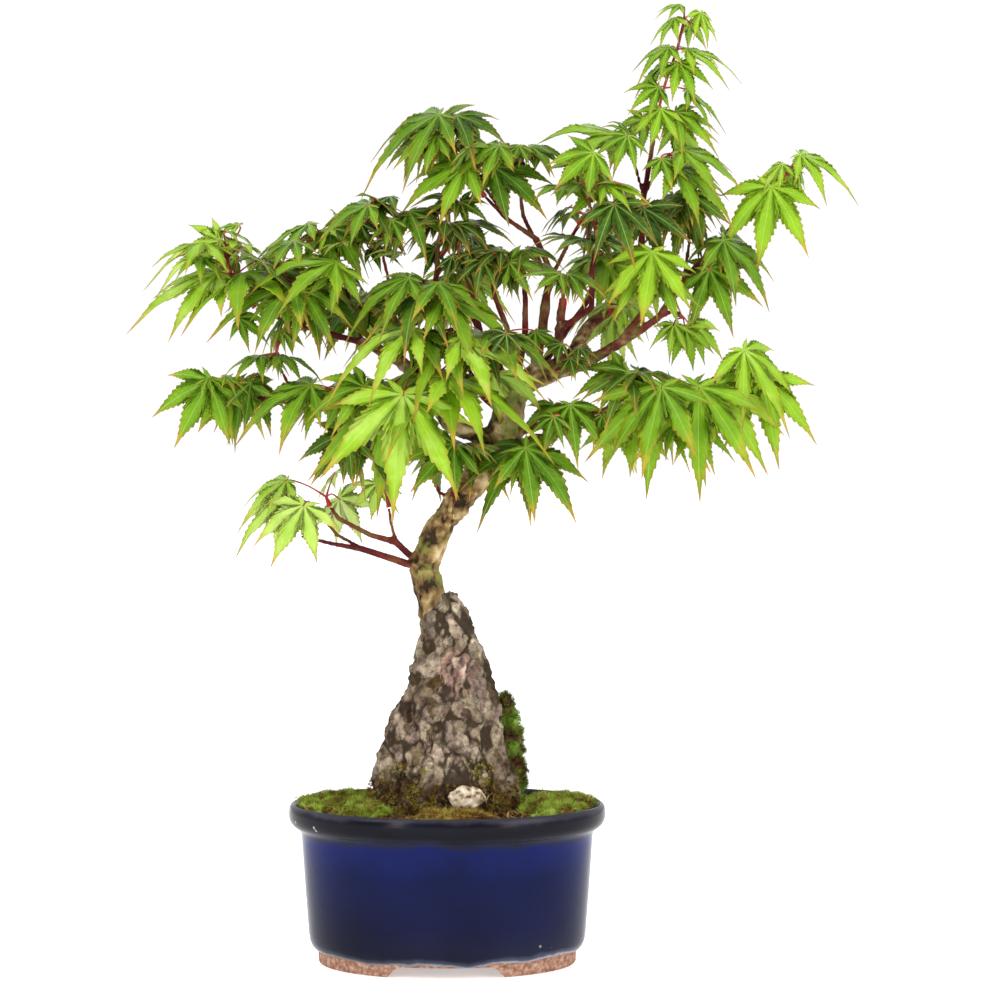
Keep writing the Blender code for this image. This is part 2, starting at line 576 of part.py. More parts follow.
def turned(profile, squash, steps=POT_STEPS):
    """A turned solid from a profile of radius and height that starts and ends on the axis, squashed
    along Y into an oval."""
    bm = bmesh.new()
    points = [bm.verts.new((radius, 0, height)) for radius, height in profile]
    for start, end in zip(points, points[1:]):
        bm.edges.new((start, end))
    mesh = bpy.data.meshes.new("profile")
    bm.to_mesh(mesh)
    bm.free()
    lathe = new_object("profile", mesh)
    screw = lathe.modifiers.new("turn", "SCREW")
    screw.steps = steps
    screw.render_steps = steps
    screw.use_merge_vertices = True
    screw.merge_threshold = 1e-5
    made = evaluated_mesh(lathe)
    made.transform(Matrix.Diagonal((1, squash, 1, 1)))
    return welded(made)


def main_piece(mesh):
    """The mesh without any crumbs that a cut has left beside its largest piece."""
    bm = bmesh.new()
    bm.from_mesh(mesh)
    left = set(bm.verts)
    islands = []
    while left:
        island = set()
        waiting = [left.pop()]
        while waiting:
            vertex = waiting.pop()
            island.add(vertex)
            near = {edge.other_vert(vertex) for edge in vertex.link_edges} & left
            left -= near
            waiting += near
        islands.append(island)
    largest = max(islands, key=len)
    crumbs = [vertex for island in islands if island is not largest for vertex in island]
    bmesh.ops.delete(bm, geom=crumbs, context="VERTS")
    bm.to_mesh(mesh)
    bm.free()
    return mesh


def block(size, place):
    bm = bmesh.new()
    bmesh.ops.create_cube(bm, size=1, matrix=Matrix.Translation(place) @ Matrix.Diagonal((*size, 1)))
    mesh = bpy.data.meshes.new("block")
    bm.to_mesh(mesh)
    bm.free()
    return mesh


def lump(middle, radii, around, up, grow=0.0):
    """An ellipsoid from a primitive sphere, in metres."""
    bm = bmesh.new()
    radii = [radius + grow for radius in radii]
    place = Matrix.Translation(middle) @ Matrix.Diagonal((*radii, 1))
    bmesh.ops.create_uvsphere(bm, u_segments=around, v_segments=up, radius=1, matrix=place)
    mesh = bpy.data.meshes.new("lump")
    bm.to_mesh(mesh)
    bm.free()
    return mesh


def grown(mesh, distance):
    """A copy of the mesh with each point moved out along its normal."""
    copy = mesh.copy()
    offsets = [vertex.normal * distance for vertex in copy.vertices]
    for vertex, offset in zip(copy.vertices, offsets):
        vertex.co += offset
    return copy


def plant(x, y, z):
    """A place of the plant's tables in metres: they are measured for a pot TABLE_RIM millimetres high."""
    return Vector((x * MM, y * MM, (z - TABLE_RIM) * MM)) * PLANT_SCALE + Vector((0, 0, POT_HEIGHT))


# ---- The pot ----
half_width = POT_WIDTH / 2
oval = POT_DEPTH / POT_WIDTH
wall_top = half_width - RIM_OVERHANG
wall_bottom = wall_top - POT_TAPER
foot_radius = wall_bottom - FOOT_INSET
floor_top = FOOT_HEIGHT + POT_FLOOR
under_rim = POT_HEIGHT - RIM_HEIGHT
mouth = half_width - RIM_LIP
inner_top = wall_top - POT_WALL
inner_bottom = wall_bottom - POT_WALL
throat = under_rim - THROAT_DROP
mouth_height = POT_HEIGHT - LIP_DROP


def pot_profile():
    """The pot's section, from the middle of its floor up the inside, over the rim and down to the foot."""
    inside = [
        (0, floor_top),
        (inner_bottom - FLOOR_CORNER, floor_top),
        (inner_bottom - FLOOR_CORNER * 0.25, floor_top + FLOOR_CORNER * 0.3),
        (inner_bottom, floor_top + FLOOR_CORNER),
        (inner_top, throat),
        (mouth, mouth_height),
    ]
    rim = [(half_width - RIM_LIP * into, POT_HEIGHT - RIM_HEIGHT * down) for into, down in RIM_TOP]
    rim += [(half_width - RIM_OVERHANG * into, POT_HEIGHT - RIM_HEIGHT * down) for into, down in RIM_UNDERSIDE]
    outside = [
        (wall_bottom, FOOT_HEIGHT + WALL_CURL_HIGH),
        (wall_bottom - WALL_CURL_IN, FOOT_HEIGHT + WALL_CURL_LOW),
        (foot_radius, FOOT_HEIGHT),
        (foot_radius, 0),
        (foot_radius - FOOT_RING, 0),
        (foot_radius - FOOT_RING, FOOT_HEIGHT),
        (0, FOOT_HEIGHT),
    ]
    return inside + rim + outside


def foot_notch():
    """A cutter with slanted ends that runs under the pot from front to back."""
    bm = bmesh.new()
    bmesh.ops.create_cube(bm, size=2)
    slope = (FOOT_NOTCH_BOTTOM - FOOT_NOTCH_TOP) / 2 / FOOT_NOTCH_HEIGHT
    for vertex in bm.verts:
        height = math.copysign(FOOT_NOTCH_HEIGHT, vertex.co.z)
        half = FOOT_NOTCH_BOTTOM / 2 - slope * height
        vertex.co = (math.copysign(half, vertex.co.x), math.copysign(POT_DEPTH, vertex.co.y), height)
    mesh = bpy.data.meshes.new("foot_notch")
    bm.to_mesh(mesh)
    bm.free()
    return mesh


def drain_places():
    return [("left", -DRAIN_SPACING / 2), ("right", DRAIN_SPACING / 2)]


def drain_cutter(x):
    bm = bmesh.new()
    place = Matrix.Translation((x, 0, floor_top / 2))
    bmesh.ops.create_cone(
        bm, cap_ends=True, segments=DRAIN_SIDES, radius1=DRAIN_HOLE / 2, radius2=DRAIN_HOLE / 2,
        depth=floor_top * 2, matrix=place)
    mesh = bpy.data.meshes.new("drain")
    bm.to_mesh(mesh)
    bm.free()
    return mesh


pot_mesh = turned(pot_profile(), oval)
pot_mesh = combined(pot_mesh, "DIFFERENCE", [foot_notch()] + [drain_cutter(x) for _, x in drain_places()])
new_object("pot", pot_mesh, "pot")


def drain_mesh(x):
    """A square of plastic netting that lies over a drain hole."""
    height = floor_top + GAP + MESH_THICK / 2
    sheet = block((MESH_SIDE, MESH_SIDE, MESH_THICK), (x, 0, height))
    pitch = MESH_SIDE / (MESH_CELLS + MESH_BORDER)
    middle = (MESH_CELLS - 1) / 2
    holes = []
    for row in range(MESH_CELLS):
        for column in range(MESH_CELLS):
            place = (x + (column - middle) * pitch, (row - middle) * pitch, height)
            holes.append(block((MESH_CELL, MESH_CELL, MESH_THICK * CUT_THROUGH), place))
    return combined(sheet, "DIFFERENCE", holes)


for side, x in drain_places():
    new_object(f"drain_mesh_{side}", drain_mesh(x), "drain_mesh")

# ---- The soil ----
soil_edge = POT_HEIGHT - SOIL_BELOW_RIM
soil_floor = floor_top + MESH_THICK + 2 * GAP


def bowl_radius(height):
    """The inside of the pot at a height, less the gap."""
    share = min(max((height - throat) / (mouth_height - throat), 0), 1)
    return inner_top + (mouth - inner_top) * share - GAP


def soil_profile(top_edge, widen=0.0):
    dome = [(inner_top * out, top_edge + SOIL_CROWN * up) for out, up in SOIL_DOME]
    return dome + [
        (bowl_radius(top_edge) + widen, top_edge),
        (bowl_radius(throat) + widen, throat),
        (inner_bottom - GAP + widen, floor_top + FLOOR_CORNER + GAP * 2),
        (inner_bottom - FLOOR_CORNER, soil_floor),
        (0, soil_floor),
    ]


soil_blank = turned(soil_profile(soil_edge), oval)
soil_shadow = turned(soil_profile(soil_edge + GAP, 2 * GAP), oval)


# ---- The rock ----
def rock_mesh(grow=0.0):
    """A sphere's rings moved onto the rock's sections, with a lumpy skin."""
    rows = len(ROCK_SECTIONS) + 1
    bm = bmesh.new()
    bmesh.ops.create_uvsphere(bm, u_segments=ROCK_SIDES, v_segments=rows, radius=1)
    for vertex in bm.verts:
        row = round((1 - math.acos(max(-1, min(1, vertex.co.z))) / math.pi) * rows)
        angle = math.atan2(vertex.co.y, vertex.co.x)
        section = ROCK_SECTIONS[min(max(row - 1, 0), len(ROCK_SECTIONS) - 1)]
        height, left, right, front, back = section
        spread = 0.0 if row in (0, rows) else 1.0
        height += ((row == rows) - (row == 0)) * ROCK_END
        squarish = 1 + ROCK_SQUARENESS * math.cos(4 * angle)
        x = (left + right) / 2 + (right - left) / 2 * math.cos(angle) * spread * squarish * ROCK_GIRTH
        y = (front + back) / 2 + (back - front) / 2 * math.sin(angle) * spread * squarish * ROCK_GIRTH
        vertex.co = plant(x, y, height)
    bm.normal_update()
    pushes = []
    for vertex in bm.verts:
        push = noise.noise(vertex.co / ROCK_LUMP_SIZE) * ROCK_LUMP
        pushes.append(vertex.normal * push)
    for vertex, push in zip(bm.verts, pushes):
        vertex.co += push
    mesh = bpy.data.meshes.new("rock")
    bm.to_mesh(mesh)
    bm.free()
    mesh = welded(mesh)
    return grown(mesh, grow) if grow else mesh


# ---- The wood ----
def limb_points(name):
    """A limb's points with their radii. It starts inside its parent, just short of the parent's point."""
    parent, index, own = WOOD[name]
    points = [(plant(x, y, z), radius * MM * WOOD_GIRTH * PLANT_SCALE) for x, y, z, radius in own]
    if parent:
        above = limb_points(parent)
        start = above[index][0]
        inward = above[index - 1 if index else 1][0] - start
        points.insert(0, (start + inward.normalized() * points[0][1] * LIMB_OVERLAP, points[0][1]))
    return points


def smooth(points, steps):
    """Points with radii on a smooth curve through the given ones."""
    made = []
    for index in range(len(points) - 1):
        around = [points[max(index - 1, 0)], points[index], points[index + 1]]
        around.append(points[min(index + 2, len(points) - 1)])
        for step in range(steps):
            t = step / steps
            weights = (
                -0.5 * t + t * t - 0.5 * t ** 3,
                1 - 2.5 * t * t + 1.5 * t ** 3,
                0.5 * t + 2 * t * t - 1.5 * t ** 3,
                -0.5 * t * t + 0.5 * t ** 3,
            )
            place = sum((weight * point for weight, (point, _) in zip(weights, around)), Vector())
            radius = sum(weight * size for weight, (_, size) in zip(weights, around))
            made.append((place, radius))
    made.append(points[-1])
    return made


def tubes(paths, resolution, grow=0.0):
    """Round solids along paths of points and radii, as one mesh of separate tubes."""
    data = bpy.data.curves.new("tubes", "CURVE")
    data.dimensions = "3D"
    data.bevel_depth = 1.0
    data.bevel_resolution = resolution
    data.use_fill_caps = True
    for path in paths:
        spline = data.splines.new("POLY")
        spline.points.add(len(path) - 1)
        for point, (place, radius) in zip(spline.points, path):
            point.co = (*place, 1)
            point.radius = radius + grow
    curve = bpy.data.objects.new("tubes", data)
    cutters.objects.link(curve)
    mesh = evaluated_mesh(curve)
    bpy.data.curves.remove(data)
    return welded(mesh)


def wood_mesh(names, grow=0.0):
    """The limbs as one solid, the stouter ones with more sides."""
    resolution, steps = TRUNK_GRADE
    made = tubes([smooth(limb_points("trunk"), steps)], resolution, grow)
    left = [limb_points(name) for name in names if name != "trunk"]
    for least, resolution, steps in GRADES:
        limit = least * WOOD_GIRTH * PLANT_SCALE
        chosen = [smooth(path, steps) for path in left if path[0][1] >= limit]
        left = [path for path in left if path[0][1] < limit]
        if chosen:
            made = combined(made, "UNION", [tubes(chosen, resolution, grow)], True)
    return made


tree_mesh = wood_mesh(list(WOOD))
root_shadow = wood_mesh(ROOTS, GAP)
rock = combined(rock_mesh(), "DIFFERENCE", [root_shadow])
rock_shadow = rock_mesh(GAP)
new_object("rock", rock, "rock")
new_object("soil", combined(soil_blank, "DIFFERENCE", [rock_shadow, root_shadow]), "soil")
new_object("tree", tree_mesh, "wood")

# ---- The chip of stone and the moss ----
chip_middle = plant(*STONE_CHIP[0])
chip_radii = [radius * MM * PLANT_SCALE for radius in STONE_CHIP[1]]
chip = combined(
    lump(chip_middle, chip_radii, CHIP_SIDES, CHIP_ROWS), "DIFFERENCE", [soil_shadow, rock_shadow])
chip_shadow = lump(chip_middle, chip_radii, CHIP_SIDES, CHIP_ROWS, GAP)
new_object("stone_chip", chip, "stone_chip")


def pot_mouth():
    """The room inside the pot, which no moss leaves at its sides."""
    high = POT_HEIGHT * 2
    return turned([
        (0, high), (bowl_radius(high), high), (bowl_radius(mouth_height), mouth_height),
        (bowl_radius(throat), throat), (bowl_radius(throat), floor_top), (0, floor_top),
    ], oval)


def moss_place(middle, radii, grow=0.0):
    """A cushion's full ellipsoid, placed by the pot's width, depth and rim."""
    x, y, z = middle
    across = POT_WIDTH / TABLE_WIDTH
    deep = POT_DEPTH / TABLE_DEPTH
    place = Vector((x * across, y * deep, POT_HEIGHT + (z - TABLE_RIM) * MM))
    size = (radii[0] * across, radii[1] * deep, radii[2] * MM)
    return lump(place, size, MOSS_SIDES, MOSS_ROWS, grow)


def moss_mesh(middle, radii, beside):
    """A cushion of moss that lies on the soil, inside the pot, against what stands beside it."""
    blank = combined(moss_place(middle, radii), "INTERSECT", [pot_mouth()])
    return main_piece(combined(blank, "DIFFERENCE", [soil_shadow, rock_shadow, root_shadow] + beside))


mound_shadow = moss_place(*MOUND, GAP)
new_object("moss_mound", moss_mesh(*MOUND, []), "moss")
for name, (middle, radii) in CUSHIONS.items():
    new_object(name, moss_mesh(middle, radii, [chip_shadow, mound_shadow]), "moss")


# ---- The leaves ----
Piece = namedtuple("Piece", "low high tree shoot kind")
standing = []


def piece(points, faces, shoot, kind):
    """What a mesh takes up: its box and its search tree, with the shoot that it grows on."""
    used = [points[index] for face in faces for index in face]
    low = [min(point[axis] for point in used) for axis in range(3)]
    high = [max(point[axis] for point in used) for axis in range(3)]
    return Piece(low, high, BVHTree.FromPolygons(points, faces), shoot, kind)


def piece_of(mesh, shoot, kind):
    points = [vertex.co for vertex in mesh.vertices]
    return piece(points, [tuple(face.vertices) for face in mesh.polygons], shoot, kind)


def touches(this, allowed=()):
    """Whether a piece meets anything that stands, apart from the allowed kinds on its own shoot."""
    for other in standing:
        if other.shoot == this.shoot and other.kind in allowed:
            continue
        if any(this.low[axis] > other.high[axis] or this.high[axis] < other.low[axis] for axis in range(3)):
            continue
        if this.tree.overlap(other.tree):
            return True
    return False


class Blade:
    """Where a blade lies: it arches down from its base along each lobe."""

    def __init__(self, base, tip, face, roll):
        self.base = base
        self.length = (tip - base).length
        level = Vector((tip.x - base.x, tip.y - base.y)).length / self.length
        rise = Vector((0, 0, SAG * self.length * level * level))
        run = (tip - base + rise) / self.length
        self.stretch = run.length
        self.along = run.normalized()
        out = (face - self.along * face.dot(self.along)).normalized()
        turn = Matrix.Rotation(math.radians(roll), 3, self.along)
        self.out = turn @ out
        self.across = self.out.cross(self.along)

    def point(self, angle, reach, beside=0.0):
        """A point of the blade, at an angle from the middle lobe, reached along it and then beside it."""
        turned_by = math.radians(angle)
        line = self.along * math.cos(turned_by) + self.across * math.sin(turned_by)
        side = self.across * math.cos(turned_by) - self.along * math.sin(turned_by)
        line = line - self.out * CUPPING * abs(math.sin(turned_by))
        level = Vector((line.x, line.y)).length
        drop = Vector((0, 0, SAG * reach * reach / self.length * level * level))
        return self.base + line * self.stretch * reach + side * beside - drop


def rim_of(blade, fat):
    """The corners of a blade's outline from one side of its heel round to the other, each with the lobe
    whose tip it is."""
    heel = blade.length * HEEL + PETIOLE_RADIUS + fat
    back = blade.base - blade.along * heel * HEEL_BACK
    corners = [(back - blade.across * heel, None)]
    for index, (angle, share) in enumerate(LOBES):
        reach = blade.length * share
        half = reach * SHOULDER_HALF + fat
        corners.append((blade.point(angle, reach * SHOULDER_AT, -half), None))
        corners.append((blade.point(angle, reach + fat), index))
        corners.append((blade.point(angle, reach * SHOULDER_AT, half), None))
        if index + 1 < len(LOBES):
            between = (angle + LOBES[index + 1][0]) / 2
            corners.append((blade.point(between, blade.length * VALLEY_AT + fat), None))
    corners.append((back + blade.across * heel, None))
    return corners


def add_midrib(bm, tip, pole, place):
    """Raises or lowers the blade along one lobe, between its tip and the middle of the blade."""
    spoke = next(edge for edge in tip.link_edges if edge.other_vert(tip) is pole)
    _, rib = bmesh.utils.edge_split(spoke, tip, 0.5)
    rib.co = place
    for side in list(rib.link_faces):
        across = next(vertex for vertex in side.verts if vertex not in (rib, tip, pole))
        bmesh.ops.connect_verts(bm, verts=[rib, across])


def leaf(root, base, tip, face, roll, fat=0.0):
    """A blade and its stalk as one thin solid. A flattened sphere has its rim moved onto the lobes, and
    the two faces at its heel are drawn out into the stalk. The stalk's corners are returned too."""
    blade = Blade(base, tip, face, roll)
    half = LEAF_THICKNESS / 2 + fat
    corners = rim_of(blade, fat)
    bm = bmesh.new()
    bmesh.ops.create_uvsphere(bm, u_segments=len(corners), v_segments=2, radius=1)
    top = max(bm.verts, key=lambda vertex: vertex.co.z)
    bottom = min(bm.verts, key=lambda vertex: vertex.co.z)
    ring = sorted(
        (vertex for vertex in bm.verts if vertex not in (top, bottom)),
        key=lambda vertex: math.atan2(vertex.co.y, vertex.co.x))
    top.co = base + blade.out * half
    bottom.co = base - blade.out * half
    for vertex, (place, _) in zip(ring, corners):
        vertex.co = place
    if blade.length > BIG_LEAF:
        for vertex, (_, lobe) in zip(ring, corners):
            if lobe is not None:
                angle, share = LOBES[lobe]
                middle = blade.point(angle, blade.length * share * SHOULDER_AT)
                add_midrib(bm, vertex, top, middle + blade.out * half * RIB_SHARE)
                add_midrib(bm, vertex, bottom, middle - blade.out * half * RIB_SHARE)
    end = [side for side in bm.faces if ring[0] in side.verts and ring[-1] in side.verts]
    neck = base + ((root - base).normalized() * NECK_LEAN - blade.along).normalized() * STALK_NECK
    run = root - neck
    turn = (-blade.along).rotation_difference(run)
    bend = Quaternion().slerp(turn, 0.5)
    stations = [(neck, bend @ blade.across, bend @ blade.out), (root, turn @ blade.across, turn @ blade.out)]
    if run.length > LONG_STALK * PLANT_SCALE:
        middle = (neck + root) / 2 + Vector((0, 0, run.length * STALK_ARCH))
        stations.insert(1, (middle, stations[1][1], stations[1][2]))
    thick = PETIOLE_RADIUS + fat
    order = [ring[0], top, ring[-1], bottom]
    stalk = set()
    for middle, across, out in stations:
        made = bmesh.ops.extrude_face_region(bm, geom=end)["geom"]
        bmesh.ops.delete(bm, geom=[side for side in end if side.is_valid], context="FACES")
        end = [item for item in made if isinstance(item, bmesh.types.BMFace)]
        new = [item for item in made if isinstance(item, bmesh.types.BMVert)]
        order = [min(new, key=lambda vertex: (vertex.co - old.co).length_squared) for old in order]
        for vertex, push in zip(order, (-across, out, across, -out)):
            vertex.co = middle + push * thick
        stalk |= set(new)
    bmesh.ops.triangulate(bm, faces=bm.faces)
    if bm.calc_volume(signed=True) < 0:
        bmesh.ops.reverse_faces(bm, faces=bm.faces)
    bm.verts.index_update()
    return bm, stalk


def leaf_pieces(shoot, pose, fat):
    """The blade and the stalk of a leaf as two pieces, and whether the leaf crosses itself."""
    bm, stalk = leaf(*pose, fat)
    points = [vertex.co.copy() for vertex in bm.verts]
    sides = {"blade": [], "stalk": []}
    for side in bm.faces:
        kind = "stalk" if any(vertex in stalk for vertex in side.verts) else "blade"
        sides[kind].append(tuple(vertex.index for vertex in side.verts))
    bm.free()
    made = [piece(points, faces, shoot, kind) for kind, faces in sides.items()]
    whole = sides["blade"] + sides["stalk"]
    tree = BVHTree.FromPolygons(points, whole)
    crossed = any(not set(whole[one]) & set(whole[other]) for one, other in tree.overlap(tree))
    return made, crossed


def shoot_path(limb, own):
    """A shoot's points with their radii. It starts a gap beyond the end of its limb, in line with it."""
    ends = limb_points(limb)[-2:]
    way = (ends[1][0] - ends[0][0]).normalized()
    start = ends[1][0] + way * GAP
    places = [start, start + way * SHOOT_COLLAR] + [plant(*place) for place in own]
    return [(place, SHOOT_RADIUS) for place in places]


def room_for(shoot, root, row):
    """The first pose of a leaf that leaves a gap to all that stands: it may turn on its middle lobe, lie
    nearer or further back, or grow smaller."""
    _, base, tip, face = row
    base, tip = plant(*base), plant(*tip)
    for shrink in SHRINKS:
        for shift in SHIFTS:
            moved = base + Vector((0, shift * MM * PLANT_SCALE, 0))
            for roll in ROLLS:
                pose = (root, moved, moved + (tip - base) * LEAF_SCALE * shrink, face, roll)
                (blade, stalk), crossed = leaf_pieces(shoot, pose, GAP)
                if not crossed and not touches(blade) and not touches(stalk, ("shoot", "stalk")):
                    return pose
    return None


for part in list(model.objects):
    if part.type == "MESH":
        standing.append(piece_of(part.data, None, "body"))

stems = {}
for name, (limb, own, rows) in SHOOTS.items():
    path = shoot_path(limb, own)
    stem = tubes([path], 0)
    stems[name] = (path, stem)
    standing.append(piece_of(stem, name, "shoot"))

for name, (limb, own, rows) in SHOOTS.items():
    path, stem = stems[name]
    places = [place for place, _ in path]
    leaves = []
    for row in rows:
        root = places[row[0] + 1]
        if row[0] == len(own):
            root = root + (places[-2] - root).normalized() * SHOOT_RADIUS
        pose = room_for(name, root, row)
        if pose is None:
            continue
        standing += leaf_pieces(name, pose, 0.0)[0]
        bm, _ = leaf(*pose)
        mesh = bpy.data.meshes.new("leaf")
        bm.to_mesh(mesh)
        bm.free()
        leaves.append(mesh)
    spray = combined(stem, "UNION", leaves)
    new_object(f"spray_{name}", main_piece(spray), "leaf")

# ---- The shared frame ----
corners = []
for part in model.objects:
    if part.type == "MESH":
        corners += [vertex.co for vertex in part.data.vertices]
low = [min(corner[axis] for corner in corners) for axis in range(3)]
high = [max(corner[axis] for corner in corners) for axis in range(3)]
frame.location = (-(low[0] + high[0]) / 2, -(low[1] + high[1]) / 2, -low[2])
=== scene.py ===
"""The looks of a potted maple bonsai: leaves, bark, rock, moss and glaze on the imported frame.

Each operator makes one group of like pieces. Lengths in the tables are millimetres from the middle of
the pot's foot, and the front of the tree faces -Y.
"""

import functools
import math
import random

import bmesh
import bpy
import numpy as np
from mathutils import Matrix, Vector, kdtree, noise
from mathutils.bvhtree import BVHTree


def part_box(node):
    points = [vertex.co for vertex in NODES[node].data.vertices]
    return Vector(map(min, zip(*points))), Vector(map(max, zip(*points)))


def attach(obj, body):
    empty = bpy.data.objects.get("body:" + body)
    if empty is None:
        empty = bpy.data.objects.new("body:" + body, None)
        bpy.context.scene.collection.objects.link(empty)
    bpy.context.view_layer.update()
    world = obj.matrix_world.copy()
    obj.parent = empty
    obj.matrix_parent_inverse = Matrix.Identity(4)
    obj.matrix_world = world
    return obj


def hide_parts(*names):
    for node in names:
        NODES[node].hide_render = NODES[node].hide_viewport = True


bl_info = {
    "name": "Maple bonsai",
    "version": (1, 0, 0),
    "blender": (4, 5, 0),
    "location": "View3D > Sidebar > Bonsai",
    "description": "Builds a potted maple bonsai on its packed frame",
    "category": "Object",
}

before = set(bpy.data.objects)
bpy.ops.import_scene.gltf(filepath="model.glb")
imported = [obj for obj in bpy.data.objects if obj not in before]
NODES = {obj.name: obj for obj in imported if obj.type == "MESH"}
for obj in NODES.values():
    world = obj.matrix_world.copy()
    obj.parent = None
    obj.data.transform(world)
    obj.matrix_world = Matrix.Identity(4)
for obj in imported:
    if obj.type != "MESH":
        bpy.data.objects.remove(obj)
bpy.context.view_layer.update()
# noise_vector would otherwise take its offsets from the clock
noise.seed_set(4)

MM = 0.001
POT_LOW, POT_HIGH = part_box("pot")
POT_MIDDLE = (POT_LOW + POT_HIGH) / 2
POT_SIZE = POT_HIGH - POT_LOW
FOOT = Vector((POT_MIDDLE.x, POT_MIDDLE.y, POT_LOW.z))

FRONT = Vector((0, -1, 0.3))
UP = Vector((0, -0.45, 1))
SKY = Vector((0, 0.1, 1))
LEFT = Vector((-0.7, -0.6, 0.6))
RIGHT = Vector((0.7, -0.6, 0.6))
BACK = Vector((0, 1, 0.4))

